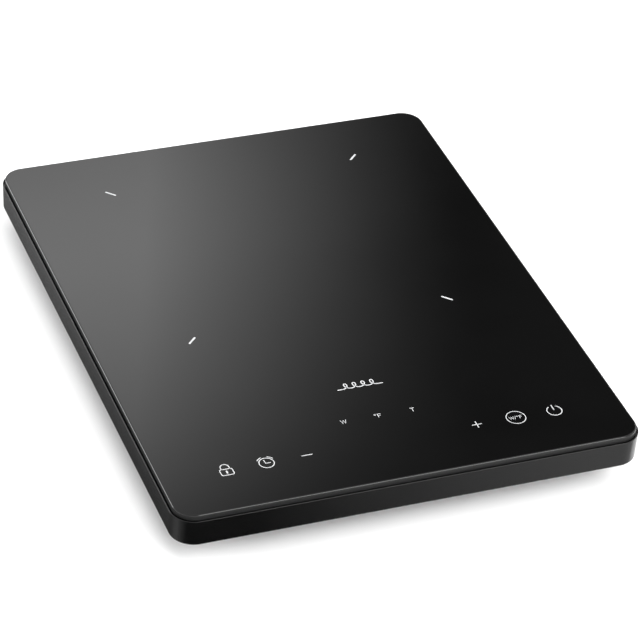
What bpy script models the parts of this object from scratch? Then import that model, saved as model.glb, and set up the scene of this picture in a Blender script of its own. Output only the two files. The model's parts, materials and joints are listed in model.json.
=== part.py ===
"""A one-zone portable induction cooktop, modelled as the separate pieces it is assembled from.

The origin is on the floor under the middle of the appliance. +X is the cook's right, +Y is away
from the cook, +Z is up, and the touch keys are along the front edge, at -Y.
"""

from math import cos, pi, radians, sin

import bmesh
import bpy
from mathutils import Matrix, Vector

MM = 0.001
GAP = 0.3 * MM  # clearance between pieces that touch on the real appliance

# Body: the frame carries the glass and makes the visible side wall
BODY_X = 283 * MM
BODY_Y = 363 * MM
BODY_CORNER = 14.5 * MM
TOTAL_HEIGHT = 41 * MM
CORNER_STEPS = 6

GLASS_X = 280 * MM
GLASS_Y = 360 * MM
GLASS_CORNER = 13 * MM
GLASS_THICK = 4 * MM
GLASS_EDGE = 0.6 * MM
GLASS_UNDER = TOTAL_HEIGHT - GLASS_THICK

LIP_TOP = 37.6 * MM
LIP_INSET = 0.5 * MM
SEAT_TOP = 36 * MM
SEAT_INSET = 10.5 * MM
SEAT_THICK = 2 * MM
WALL_INSET = 2.5 * MM
WALL_BOTTOM = 20.7 * MM
WALL_DRAFT = 0.4 * MM
WALL_FILLET = 1.2 * MM

# Lower housing: a shallow tub hung inside the frame
TUB_SHEET = 2 * MM
TUB_X = 230 * MM
TUB_Y = 310 * MM
TUB_CORNER = 20 * MM
TUB_UNDER = 7 * MM
TUB_FLOOR = TUB_UNDER + TUB_SHEET
FLANGE_UNDER = 20.9 * MM
FLANGE_TOP = FLANGE_UNDER + TUB_SHEET
FLANGE_OUTER_INSET = 2.9 * MM
FLANGE_INNER_INSET = 13.5 * MM
FLANGE_INNER_CORNER = 17 * MM
SLOT_WIDTH = 4 * MM
FAN_SLOT_REACH = 34 * MM
REAR_SLOTS = 13
REAR_SLOT_PITCH = 14 * MM
REAR_SLOT_Y = 161.5 * MM
REAR_SLOT_Z = 14 * MM

FOOT_AT = (100 * MM, 138 * MM)
FOOT_RADIUS = 9 * MM
FOOT_HOLE = 2.8 * MM
HOUSING_SCREW_AT = (131 * MM, 171 * MM)

# Screws, their pilot holes and the bosses that take them
HEAD_RADIUS = 3 * MM
HEAD_TALL = 1.5 * MM
THREAD_RADIUS = 1.2 * MM
CROSS_LONG = 3 * MM
CROSS_WIDE = 0.7 * MM
CLEARANCE_RADIUS = 1.6 * MM
PILOT_RADIUS = 1.5 * MM
PILOT_TOP = 32 * MM
BOSS_RADIUS = 3.6 * MM
HOUSING_SCREW_TIP = 31 * MM
COIL_SCREW_TIP = 20 * MM

# Cord entry in the rear wall
GLAND_X = 100 * MM
GLAND_Z = 28.5 * MM
GLAND_FLANGE = 6 * MM
GLAND_NECK = 4.6 * MM
GLAND_BORE = 3.4 * MM
GLAND_BLOCK_Y = 175 * MM
GLAND_SINK = 1.5 * MM

# Heating coil stack, all round one centre
COIL_AT = (0, 62 * MM)
COIL_TURNS = 14.06
COIL_PITCH = 4.5 * MM
COIL_START = 26.5 * MM
COIL_WIRE = 1.9 * MM
COIL_Z = 33.4 * MM
COIL_STEPS_PER_TURN = 18
COIL_START_ANGLE = radians(270)
FORMER_RADIUS = 95 * MM
FORMER_UNDER = 28 * MM
FORMER_FLOOR = 31.2 * MM
FORMER_RIM_TOP = 35.7 * MM
EAR_AT = 100 * MM
EAR_ANGLES = (radians(30), radians(150), radians(270))
FERRITES = 6
FERRITE_SIZE = (48 * MM, 12 * MM, 5 * MM)
FERRITE_MIDDLE = 56 * MM
FERRITE_UNDER = 22.7 * MM
SHIELD_RADIUS = 90 * MM
SHIELD_UNDER = 20.4 * MM
SHIELD_THICK = 1 * MM
MICA_RADIUS = 93 * MM
MICA_UNDER = 36 * MM
MICA_THICK = 0.4 * MM
SENSOR_HOLE = 7 * MM
LEAD_RADIUS = 1.5 * MM

# Cooling fan, whose rotor turns about a vertical axis
FAN_AT = (-63 * MM, -92 * MM)
FAN_SIDE = 80 * MM
FAN_UNDER = TUB_FLOOR + GAP
FAN_THICK = 15 * MM
FAN_BORE = 37.5 * MM
FAN_HUB_RADIUS = 15 * MM
FAN_HUB_UNDER = 12 * MM
FAN_HUB_TOP = 23 * MM
FAN_BLADES = 7
BLADE_TIP = 35.5 * MM
BLADE_CHORD = 17 * MM
BLADE_THICK = 1.4 * MM
BLADE_PITCH = radians(32)
BLADE_Z = 17.2 * MM
SPIDER_TOP = 11.3 * MM

# Power board beside the fan
BOARD_AT = (46 * MM, -98 * MM)
BOARD_SIZE = (122 * MM, 95 * MM)
BOARD_UNDER = 13 * MM
BOARD_THICK = 1.6 * MM
BOARD_TOP = BOARD_UNDER + BOARD_THICK
PART_BASE = BOARD_TOP + GAP
SINK_AT = (15.5 * MM, -80 * MM)
SINK_SIZE = (55 * MM, 48 * MM)
SINK_UNDER = 20.2 * MM
SINK_BASE = 3 * MM
SINK_TOP = 33.5 * MM
SINK_FINS = 9
SINK_FIN_THICK = 1.4 * MM

# Parts that stand on the power board, in millimetres: finish, middle, and length, width, height
POWER_PARTS = {
    "igbt_switch": ("black_epoxy", (2, -80), (16, 21, 5)),
    "bridge_rectifier": ("black_epoxy", (26, -80), (20, 28, 5)),
    "dc_link_capacitor": ("red_film", (62, -65), (31, 15, 17)),
    "resonant_capacitor": ("blue_film", (94, -65), (24, 15, 17)),
    "filter_capacitor": ("yellow_film", (88, -119), (26, 12, 10.8)),
    "standby_transformer": ("ferrite", (94, -93), (20, 8, 14)),
    "mains_terminal": ("grey_plastic", (6, -121), (22, 12, 11)),
}
TAB_HOLE_RADIUS = 1.8 * MM
TAB_HOLE_Y = -73.5 * MM
CHOKE_AT = (66 * MM, -96 * MM)
CHOKE_RING = 8.2 * MM
CHOKE_THICK = 4.6 * MM
FUSE_AT = (32 * MM, -119 * MM)
VARISTOR_AT = (62 * MM, -120 * MM)
VARISTOR_RADIUS = 5.4 * MM
LEAD_BOARD_Y = -53.2 * MM
LEAD_BOARD_X = (12 * MM, 30 * MM)

# Control board under the touch keys
KEY_ROW = -145.6 * MM
KEY_X = {
    "lock": -101.2 * MM,
    "timer": -77.2 * MM,
    "minus": -53 * MM,
    "plus": 50.5 * MM,
    "mode": 74.8 * MM,
    "power": 98.9 * MM,
}
CONTROL_AT = (0, -140 * MM)
CONTROL_SIZE = (230 * MM, 56 * MM)
CONTROL_UNDER = 27.5 * MM
CONTROL_TOP = CONTROL_UNDER + BOARD_THICK
SPRING_TURNS = 3.5
SPRING_RADIUS = 3.5 * MM
SPRING_WIRE = 0.5 * MM
DISPLAY_AT = (-1 * MM, -143 * MM)
DISPLAY_SIZE = (62 * MM, 22 * MM, 6.5 * MM)
BUZZER_AT = (72 * MM, -123 * MM)
BUZZER_RADIUS = 6 * MM
BUZZER_TALL = 6.5 * MM
RIBBON_X = 48.5 * MM
RIBBON_WIDE = 7 * MM
RIBBON_THICK = 0.8 * MM

# Moulded posts that stand on the tub floor: (x, y)
CONTROL_POSTS = ((-108, -150), (108, -150), (-111, -118), (-19, -120), (112, -118))
BOARD_POSTS = ((-11, -141.5), (90, -141.5), (-11, -54.5), (103, -54.5))

FINISHES = {
    "black_glass": ((0.006, 0.006, 0.007), 0.03, 0.0),
    "black_plastic": ((0.018, 0.018, 0.019), 0.38, 0.0),
    "grey_plastic": ((0.10, 0.10, 0.105), 0.5, 0.0),
    "black_rubber": ((0.02, 0.02, 0.02), 0.85, 0.0),
    "silicone": ((0.55, 0.55, 0.52), 0.6, 0.0),
    "steel": ((0.55, 0.55, 0.56), 0.3, 1.0),
    "aluminium": ((0.75, 0.76, 0.77), 0.35, 1.0),
    "copper": ((0.72, 0.33, 0.16), 0.4, 1.0),
    "brass": ((0.75, 0.55, 0.25), 0.3, 1.0),
    "ferrite": ((0.045, 0.045, 0.05), 0.7, 0.0),
    "mica": ((0.62, 0.55, 0.42), 0.6, 0.0),
    "green_board": ((0.02, 0.14, 0.05), 0.45, 0.0),
    "red_film": ((0.42, 0.05, 0.03), 0.4, 0.0),
    "yellow_film": ((0.65, 0.45, 0.05), 0.4, 0.0),
    "blue_film": ((0.03, 0.10, 0.38), 0.4, 0.0),
    "black_epoxy": ((0.02, 0.02, 0.022), 0.5, 0.0),
    "clear_glass": ((0.75, 0.78, 0.78), 0.05, 0.0),
    "red_sleeve": ((0.45, 0.03, 0.02), 0.6, 0.0),
}


def clear_scene():
    for old in list(bpy.data.objects):
        bpy.data.objects.remove(old, do_unlink=True)


def new_collection(name):
    collection = bpy.data.collections.new(name)
    bpy.context.scene.collection.children.link(collection)
    return collection


def make_finish(name, colour, roughness, metallic):
    finish = bpy.data.materials.new(name)
    finish.use_nodes = True
    shader = finish.node_tree.nodes["Principled BSDF"]
    shader.inputs["Base Color"].default_value = (*colour, 1)
    shader.inputs["Roughness"].default_value = roughness
    shader.inputs["Metallic"].default_value = metallic
    return finish


clear_scene()
parts = new_collection("induction_cooktop")
cutters = new_collection("cutters")


# Placing and finishing --------------------------------------------------------------------


def smooth(mesh, sharp_from=radians(32)):
    mesh.shade_smooth()
    mesh.set_sharp_from_angle(angle=sharp_from)


def add_part(name, mesh, finish, at=(0, 0, 0), parent=None):
    """One named sub-part in its own material."""
    part = bpy.data.objects.new(name, mesh)
    part.location = at
    part.parent = parent
    parts.objects.link(part)
    colour, roughness, metallic = FINISHES[finish]
    mesh.materials.clear()
    mesh.materials.append(make_finish(name, colour, roughness, metallic))
    return part


def mesh_from(bm, name):
    mesh = bpy.data.meshes.new(name)
    bmesh.ops.recalc_face_normals(bm, faces=bm.faces)
    bm.to_mesh(mesh)
    bm.free()
    return mesh


def soften(part, width, segments):
    """Rounds every edge sharper than the faces of a round corner."""
    bevel = part.modifiers.new("edges", "BEVEL")
    bevel.width = width
    bevel.segments = segments
    bevel.limit_method = "ANGLE"
    bevel.angle_limit = radians(40)


def evaluated_mesh(part):
    """The part's shape with its modifiers or its curve bevel worked in."""
    bpy.context.view_layer.update()
    graph = bpy.context.evaluated_depsgraph_get()
    return bpy.data.meshes.new_from_object(part.evaluated_get(graph))


def combine(part, shapes, operation):
    """Cuts shapes from a part, or joins them to it. Shapes is a function that fills a bmesh."""
    bm = bmesh.new()
    shapes(bm)
    tool = bpy.data.objects.new(f"{part.name}_{shapes.__name__}", mesh_from(bm, shapes.__name__))
    cutters.objects.link(tool)
    tool.hide_render = True
    tool.display_type = "WIRE"
    tool.parent = part.parent
    boolean = part.modifiers.new(shapes.__name__, "BOOLEAN")
    boolean.operation = operation
    boolean.solver = "EXACT"
    boolean.object = tool


def cut(part, shapes):
    combine(part, shapes, "DIFFERENCE")


def join(part, shapes):
    combine(part, shapes, "UNION")


# Shapes added to a bmesh ------------------------------------------------------------------


def block(bm, middle, size, turn=None, corner=0.0, steps=3):
    """A box whose vertical edges are rounded where corner is given."""
    made = bmesh.ops.create_cube(bm, size=1)["verts"]
    bmesh.ops.scale(bm, vec=size, verts=made)
    if corner:
        edges = {edge for vert in made for edge in vert.link_edges}
        upright = [e for e in edges if abs(e.verts[0].co.z - e.verts[1].co.z) > size[2] / 2]
        made = bmesh.ops.bevel(
            bm, geom=upright, offset=corner, segments=steps, affect="EDGES", profile=0.5
        )["verts"]
        made = list({v for vert in made for e in vert.link_edges for v in e.verts})
    if turn:
        bmesh.ops.transform(bm, matrix=turn, verts=made)
    bmesh.ops.translate(bm, vec=middle, verts=made)


def rod(bm, at, radius, low, high, steps=16):
    """An upright cylinder between two heights."""
    middle = Matrix.Translation((at[0], at[1], (low + high) / 2))
    bmesh.ops.create_cone(
        bm, cap_ends=True, segments=steps, radius1=radius, radius2=radius, depth=high - low, matrix=middle
    )


def rod_along_y(bm, x, z, radius, start, end, steps=20):
    place = Matrix.Translation((x, (start + end) / 2, z)) @ Matrix.Rotation(pi / 2, 4, "X")
    bmesh.ops.create_cone(
        bm, cap_ends=True, segments=steps, radius1=radius, radius2=radius, depth=end - start, matrix=place
    )


def polar(middle, radius, angle):
    return (middle[0] + radius * cos(angle), middle[1] + radius * sin(angle))


def corners(at):
    """The four points symmetrical about both centre lines."""
    return [(sx * at[0], sy * at[1]) for sx in (-1, 1) for sy in (-1, 1)]


def centre_into_mesh(part):
    """Moves a turned part's centre into its mesh, so that world-placed tools line up with it."""
    part.data.transform(Matrix.Translation(part.location))
    part.location = (0, 0, 0)


# Whole sub-parts from one kind of shape ---------------------------------------------------


def block_part(name, finish, middle, size, corner=0.0, edge=0.0, steps=3, edge_steps=1, parent=None):
    bm = bmesh.new()
    block(bm, (0, 0, 0), size, corner=corner, steps=steps)
    part = add_part(name, mesh_from(bm, name), finish, at=middle, parent=parent)
    if edge:
        soften(part, edge, edge_steps)
    return part


def turned_mesh(name, profile, steps, closed=False):
    """A profile of (radius, height) points, down the outer side, turned about Z."""
    source = bpy.data.meshes.new(name + "_profile")
    count = len(profile)
    edges = [(i, i + 1) for i in range(count - 1)]
    if closed:
        edges.append((count - 1, 0))
    source.from_pydata([(radius, 0, height) for radius, height in profile], edges, [])
    lathe = bpy.data.objects.new(name + "_lathe", source)
    bpy.context.scene.collection.objects.link(lathe)
    screw = lathe.modifiers.new("turn", "SCREW")
    screw.steps = steps
    screw.render_steps = steps
    screw.use_merge_vertices = True
    screw.merge_threshold = 0.00001
    mesh = evaluated_mesh(lathe)
    bpy.data.objects.remove(lathe)
    smooth(mesh)
    return mesh


def turned_part(name, finish, at, profile, steps=32, closed=False, parent=None):
    """A turned sub-part; the profile's heights are measured from the floor."""
    mesh = turned_mesh(name, profile, steps, closed)
    return add_part(name, mesh, finish, at=(at[0], at[1], 0), parent=parent)


def tube_part(name, finish, points, radius, sides):
    """A round wire or cable through the given points, welded shut at both ends."""
    curve = bpy.data.curves.new(name, "CURVE")
    curve.dimensions = "3D"
    curve.bevel_depth = radius
    curve.bevel_resolution = sides
    curve.use_fill_caps = True
    spline = curve.splines.new("POLY")
    spline.points.add(len(points) - 1)
    for target, point in zip(spline.points, points):
        target.co = (*point, 1)
    wire = bpy.data.objects.new(name + "_route", curve)
    bpy.context.scene.collection.objects.link(wire)
    bm = bmesh.new()
    bm.from_mesh(evaluated_mesh(wire))
    bpy.data.objects.remove(wire)
    bmesh.ops.remove_doubles(bm, verts=bm.verts, dist=0.00001)
    mesh = mesh_from(bm, name)
    smooth(mesh, radians(60))
    return add_part(name, mesh, finish)


def level(inset, height):
    """A rounded rectangle parallel to the body's outline: its half sizes, corner and height."""
    return (BODY_X / 2 - inset, BODY_Y / 2 - inset, BODY_CORNER - inset, height)


def outline(bm, half_x, half_y, corner, height):
    """The vertices of one rounded rectangle, anticlockwise from its right side."""
    ring = []
    for quarter, (side_x, side_y) in enumerate(((1, 1), (-1, 1), (-1, -1), (1, -1))):
        for step in range(CORNER_STEPS + 1):
            angle = (quarter + step / CORNER_STEPS) * pi / 2
            x = side_x * (half_x - corner) + corner * cos(angle)
            y = side_y * (half_y - corner) + corner * sin(angle)
            ring.append(bm.verts.new((x, y, height)))
    return ring


def loft(bm, levels, closed):
    """Faces between rounded rectangles; closed joins the last one back to the first."""
    rings = [outline(bm, *one) for one in levels]
    pairs = list(zip(rings, rings[1:]))
    if closed:
        pairs.append((rings[-1], rings[0]))
    for first, second in pairs:
        for here in range(len(first)):
            after = (here + 1) % len(first)
            bm.faces.new((first[here], first[after], second[after], second[here]))
    return rings


def ring_part(name, finish, levels):
    """A frame-shaped sub-part with the same section all the way round."""
    bm = bmesh.new()
    loft(bm, levels, closed=True)
    mesh = mesh_from(bm, name)
    smooth(mesh)
    return add_part(name, mesh, finish)


def smooth_route(points, per_span):
    """Points read from one smooth curve (Catmull-Rom) through the route's own points."""
    route = [Vector(point) for point in points]
    padded = [2 * route[0] - route[1], *route, 2 * route[-1] - route[-2]]
    found = []
    for before, start, end, after in zip(padded, padded[1:], padded[2:], padded[3:]):
        for step in range(per_span):
            t = step / per_span
            bend = 2 * before - 5 * start + 4 * end - after
            twist = 3 * (start - end) + after - before
            found.append(start + 0.5 * t * (end - before + t * (bend + t * twist)))
    return [*found, route[-1]]


# Outer shell ------------------------------------------------------------------------------


def make_glass():
    glass = block_part(
        "glass_plate",
        "black_glass",
        (0, 0, GLASS_UNDER + GLASS_THICK / 2),
        (GLASS_X, GLASS_Y, GLASS_THICK),
        corner=GLASS_CORNER,
        edge=GLASS_EDGE,
        steps=CORNER_STEPS,
        edge_steps=2,
    )
    smooth(glass.data)


def make_gasket():
    """The bead that bonds the glass to its seat in the frame."""
    low = SEAT_TOP + GAP
    high = GLASS_UNDER - GAP
    outer = 2.5 * MM
    inner = 8.5 * MM
    ring_part(
        "glass_gasket",
        "black_rubber",
        (level(outer, low), level(outer, high), level(inner, high), level(inner, low)),
    )


def make_frame():
    """The side wall, with a seat for the glass and a thin lip that stands clear of it."""
    seat_under = SEAT_TOP - SEAT_THICK
    lip_round = 0.3 * MM
    frame = ring_part(
        "top_frame",
        "black_plastic",
        (
            level(WALL_DRAFT + WALL_FILLET, WALL_BOTTOM),
            level(WALL_DRAFT + 0.3 * WALL_FILLET, WALL_BOTTOM + 0.3 * WALL_FILLET),
            level(WALL_DRAFT, WALL_BOTTOM + WALL_FILLET),
            level(0, LIP_TOP - lip_round),
            level(lip_round, LIP_TOP),
            level(LIP_INSET, LIP_TOP),
            level(LIP_INSET, SEAT_TOP),
            level(SEAT_INSET, SEAT_TOP),
            level(SEAT_INSET, seat_under),
            level(WALL_INSET, seat_under),
            level(WALL_INSET, WALL_BOTTOM),
        ),
    )

    def screw_bosses(bm):
        for x, y in corners(HOUSING_SCREW_AT):
            rod(bm, (x, y), BOSS_RADIUS, FLANGE_TOP + GAP, SEAT_TOP - SEAT_THICK / 2)

    def gland_block(bm):
        low = FLANGE_TOP + 0.4 * MM
        high = SEAT_TOP - SEAT_THICK / 2
        outside = BODY_Y / 2 - 1 * MM
        middle = (GLAND_X, (GLAND_BLOCK_Y + outside) / 2, (low + high) / 2)
        block(bm, middle, (16 * MM, outside - GLAND_BLOCK_Y, high - low))

    def screw_pilots(bm):
        for x, y in corners(HOUSING_SCREW_AT):
            rod(bm, (x, y), PILOT_RADIUS, FLANGE_UNDER, PILOT_TOP, steps=12)

    def gland_hole(bm):
        rod_along_y(bm, GLAND_X, GLAND_Z, GLAND_NECK + GAP, GLAND_BLOCK_Y - 2 * MM, BODY_Y / 2 + 2 * MM)

    def gland_counterbore(bm):
        deep = BODY_Y / 2 - GLAND_SINK
        rod_along_y(bm, GLAND_X, GLAND_Z, GLAND_FLANGE + GAP, deep, BODY_Y / 2 + 2 * MM)

    join(frame, screw_bosses)
    join(frame, gland_block)
    cut(frame, screw_pilots)
    cut(frame, gland_hole)
    cut(frame, gland_counterbore)


def make_lower_housing():
    """The tub: floor, sloping sides and a flange that screws up into the frame."""
    bm = bmesh.new()
    tub_floor = (TUB_X / 2, TUB_Y / 2, TUB_CORNER, TUB_UNDER)
    half_x, half_y = level(FLANGE_INNER_INSET, FLANGE_UNDER)[:2]
    slope_top = (half_x, half_y, FLANGE_INNER_CORNER, FLANGE_UNDER)
    flange_rim = level(FLANGE_OUTER_INSET, FLANGE_UNDER)
    rings = loft(bm, (tub_floor, slope_top, flange_rim), closed=False)
    bm.faces.new(reversed(rings[0]))
    bmesh.ops.recalc_face_normals(bm, faces=bm.faces)
    floor_faces = [face for face in bm.faces if len(face.verts) > 4]
    if floor_faces[0].normal.z > 0:
        bmesh.ops.reverse_faces(bm, faces=bm.faces)
    mesh = bpy.data.meshes.new("bottom_housing")
    bm.to_mesh(mesh)
    bm.free()
    smooth(mesh)
    tub = add_part("bottom_housing", mesh, "black_plastic")
    sheet = tub.modifiers.new("sheet", "SOLIDIFY")
    sheet.thickness = TUB_SHEET
    sheet.offset = -1
    sheet.use_even_offset = True

    def posts(bm):
        buried = TUB_FLOOR - TUB_SHEET / 2
        for x, y in CONTROL_POSTS:
            rod(bm, (x * MM, y * MM), 2.2 * MM, buried, CONTROL_UNDER - GAP, steps=12)
        for x, y in BOARD_POSTS:
            rod(bm, (x * MM, y * MM), 2.5 * MM, buried, BOARD_UNDER - GAP, steps=12)
        for angle in EAR_ANGLES:
            rod(bm, polar(COIL_AT, EAR_AT, angle), 5.5 * MM, buried, SHIELD_UNDER - GAP)

    def post_tops(bm):
        for angle in EAR_ANGLES:
            rod(bm, polar(COIL_AT, EAR_AT, angle), 3.5 * MM, SHIELD_UNDER - 2 * MM, FORMER_UNDER - GAP)

    def holes(bm):
        for at in corners(FOOT_AT):
            rod(bm, at, FOOT_HOLE, TUB_UNDER - 1 * MM, TUB_FLOOR + 1 * MM, steps=12)
        for at in corners(HOUSING_SCREW_AT):
            rod(bm, at, CLEARANCE_RADIUS, FLANGE_UNDER - 1 * MM, FLANGE_TOP + 1 * MM, steps=12)
        for angle in EAR_ANGLES:
            at = polar(COIL_AT, EAR_AT, angle)
            rod(bm, at, CLEARANCE_RADIUS, COIL_SCREW_TIP - 2 * MM, FORMER_UNDER + 1 * MM, steps=12)

    def fan_slots(bm):
        """Straight slots whose ends follow a circle under the fan."""
        for row in range(-4, 5):
            x = row * 2 * SLOT_WIDTH
            length = 2 * (FAN_SLOT_REACH**2 - x**2) ** 0.5
            middle = (FAN_AT[0] + x, FAN_AT[1], TUB_UNDER + TUB_SHEET / 2)
            block(bm, middle, (SLOT_WIDTH, length, 3 * TUB_SHEET))

    def rear_slots(bm):
        """A row of outlets through the rear slope."""
        for place in range(REAR_SLOTS):
            x = (place - (REAR_SLOTS - 1) / 2) * REAR_SLOT_PITCH
            block(bm, (x, REAR_SLOT_Y, REAR_SLOT_Z), (SLOT_WIDTH, 8 * MM, 24 * MM))

    join(tub, posts)
    join(tub, post_tops)
    cut(tub, holes)
    cut(tub, fan_slots)
    cut(tub, rear_slots)


def make_feet():
    """Push-in rubber feet: a pad under the floor and a barb above it."""
    pad_top = TUB_UNDER - GAP
    barb_under = TUB_FLOOR + GAP
    profile = (
        (0, barb_under + 2.7 * MM),
        (1.6 * MM, barb_under + 2.7 * MM),
        (3.6 * MM, barb_under + 0.6 * MM),
        (3.6 * MM, barb_under),
        (FOOT_HOLE - GAP, barb_under),
        (FOOT_HOLE - GAP, pad_top),
        (FOOT_RADIUS - 1 * MM, pad_top),
        (FOOT_RADIUS, pad_top - 1 * MM),
        (FOOT_RADIUS, 0.8 * MM),
        (FOOT_RADIUS - 0.8 * MM, 0),
        (0, 0),
    )
    for name, (x, y) in zip(("front_left", "rear_left", "front_right", "rear_right"), corners(FOOT_AT)):
        turned_part("foot_" + name, "black_rubber", (x, y), profile, steps=16)


def make_screw(name, at, head_face, tip, upward):
    """A pan-head screw. It points up from under head_face, or down from above it."""
    way = 1 if upward else -1
    head_end = head_face - way * HEAD_TALL
    points = [
        (0, tip),
        (0.5 * MM, tip),
        (THREAD_RADIUS, tip - way * 1.5 * MM),
        (THREAD_RADIUS, head_face),
        (HEAD_RADIUS, head_face),
        (HEAD_RADIUS, (head_face + head_end) / 2),
        (HEAD_RADIUS - 0.8 * MM, head_end),
        (0, head_end),
    ]
    screw = turned_part(name, "steel", at, points if upward else points[::-1], steps=10)

    def cross_slot(bm):
        block(bm, (*at, head_end), (CROSS_LONG, CROSS_WIDE, 2 * CROSS_WIDE))

    def cross_slot_across(bm):
        block(bm, (*at, head_end), (CROSS_WIDE, CROSS_LONG, 2 * CROSS_WIDE))

    cut(screw, cross_slot)
    cut(screw, cross_slot_across)


def make_housing_screws():
    for number, at in enumerate(corners(HOUSING_SCREW_AT), 1):
        make_screw(f"housing_screw_{number}", at, FLANGE_UNDER - GAP, HOUSING_SCREW_TIP, upward=True)


def make_gland():
    """The bush that the cord would pass through, gripping the wall between two flanges."""
    outer_face = BODY_Y / 2 - 0.2 * MM
    seat = BODY_Y / 2 - GLAND_SINK + GAP
    lock_face = GLAND_BLOCK_Y - GAP
    end = lock_face - 2.5 * MM
    lock = 5.1 * MM
    profile = (
        (GLAND_FLANGE - 0.4 * MM, outer_face),
        (GLAND_FLANGE, outer_face - 0.4 * MM),
        (GLAND_FLANGE, seat),
        (GLAND_NECK, seat),
        (GLAND_NECK, lock_face),
        (lock, lock_face),
        (GLAND_NECK, end),
        (GLAND_BORE, end),
        (GLAND_BORE, outer_face),
    )
    gland = turned_part("cord_gland", "black_rubber", (0, 0), profile, steps=20, closed=True)
    gland.rotation_euler = (-pi / 2, 0, 0)
    gland.location = (GLAND_X, 0, GLAND_Z)


# Heating coil -----------------------------------------------------------------------------


def coil_point(turn):
    radius = COIL_START + COIL_PITCH * turn
    return (*polar(COIL_AT, radius, COIL_START_ANGLE + 2 * pi * turn), COIL_Z)


def make_coil():
    count = round(COIL_TURNS * COIL_STEPS_PER_TURN)
    points = [coil_point(COIL_TURNS * step / count) for step in range(count + 1)]
    tube_part("coil_winding", "copper", points, COIL_WIRE, sides=0)


def ears(bm, low, high):
    """Three rounded lugs that reach out to the posts."""
    middle = EAR_AT - 7 * MM
    for angle in EAR_ANGLES:
        at = polar(COIL_AT, middle, angle)
        size = (26 * MM, 12 * MM, high - low)
        block(bm, (*at, (low + high) / 2), size, Matrix.Rotation(angle, 4, "Z"), corner=5.5 * MM, steps=2)


def make_former():
    """The round tray that the winding lies in."""
    wall = 3 * MM
    hub = 20 * MM
    hub_wall = 2 * MM
    profile = (
        (FORMER_RADIUS, FORMER_RIM_TOP),
        (FORMER_RADIUS, FORMER_UNDER),
        (hub, FORMER_UNDER),
        (hub, FORMER_RIM_TOP),
        (hub + hub_wall, FORMER_RIM_TOP),
        (hub + hub_wall, FORMER_FLOOR),
        (FORMER_RADIUS - wall, FORMER_FLOOR),
        (FORMER_RADIUS - wall, FORMER_RIM_TOP),
    )
    former = turned_part("coil_former", "grey_plastic", COIL_AT, profile, steps=32, closed=True)

    def former_ears(bm):
        ears(bm, FORMER_UNDER + 0.2 * MM, FORMER_FLOOR - 0.2 * MM)

    def former_holes(bm):
        low = FORMER_UNDER - 1 * MM
        high = FORMER_FLOOR + 0.2 * MM
        for angle in EAR_ANGLES:
            rod(bm, polar(COIL_AT, EAR_AT, angle), CLEARANCE_RADIUS, low, high, steps=12)
        for window in range(FERRITES):
            angle = radians(30) + window * 2 * pi / FERRITES
            rod(bm, polar(COIL_AT, 57 * MM, angle), 10 * MM, low, high, steps=12)
        for lead in (0, COIL_TURNS):
            rod(bm, coil_point(lead)[:2], LEAD_RADIUS + 1.5 * MM, low, high, steps=12)

    centre_into_mesh(former)
    join(former, former_ears)
    cut(former, former_holes)


def make_ferrites():
    for number in range(FERRITES):
        angle = number * 2 * pi / FERRITES
        middle = (*polar(COIL_AT, FERRITE_MIDDLE, angle), FERRITE_UNDER + FERRITE_SIZE[2] / 2)
        bar = block_part(f"ferrite_bar_{number + 1}", "ferrite", middle, FERRITE_SIZE)
        bar.rotation_euler.z = angle


def make_shield():
    top = SHIELD_UNDER + SHIELD_THICK
    hole = 6 * MM
    profile = (
        (SHIELD_RADIUS, top),
        (SHIELD_RADIUS, SHIELD_UNDER),
        (hole, SHIELD_UNDER),
        (hole, top),
    )
    shield = turned_part("coil_shield", "aluminium", COIL_AT, profile, steps=32, closed=True)

    def shield_ears(bm):
        ears(bm, SHIELD_UNDER + 0.1 * MM, top - 0.1 * MM)

    def shield_holes(bm):
        for angle in EAR_ANGLES:
            at = polar(COIL_AT, EAR_AT, angle)
            rod(bm, at, 3.9 * MM, SHIELD_UNDER - 1 * MM, top + 1 * MM)

    centre_into_mesh(shield)
    join(shield, shield_ears)
    cut(shield, shield_holes)


def make_mica():
    top = MICA_UNDER + MICA_THICK
    profile = ((MICA_RADIUS, top), (MICA_RADIUS, MICA_UNDER), (SENSOR_HOLE, MICA_UNDER), (SENSOR_HOLE, top))
    turned_part("mica_sheet", "mica", COIL_AT, profile, steps=32, closed=True)


def make_pan_sensor():
    """A silicone stand that presses the temperature bead against the glass."""
    foot = SHIELD_UNDER + SHIELD_THICK + GAP
    stand = 9 * MM
    pocket = 5.7 * MM
    pocket_floor = 31 * MM
    stand_top = 34.5 * MM
    holder = (
        (0, pocket_floor),
        (pocket, pocket_floor),
        (pocket, stand_top),
        (stand, stand_top),
        (stand, foot + 2.6 * MM),
        (17 * MM, foot + 2 * MM),
        (17 * MM, foot),
        (0, foot),
    )
    turned_part("sensor_holder", "silicone", COIL_AT, holder, steps=20)
    bead = pocket - 0.5 * MM
    bead_top = GLASS_UNDER - GAP
    thermistor = (
        (0, bead_top),
        (bead - 1.2 * MM, bead_top),
        (bead, bead_top - 0.9 * MM),
        (bead, pocket_floor + GAP),
        (0, pocket_floor + GAP),
    )
    turned_part("pan_thermistor", "aluminium", COIL_AT, thermistor, steps=20)


def make_coil_screws():
    for number, angle in enumerate(EAR_ANGLES, 1):
        at = polar(COIL_AT, EAR_AT, angle)
        make_screw(f"coil_screw_{number}", at, FORMER_FLOOR + GAP, COIL_SCREW_TIP, upward=False)


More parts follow.
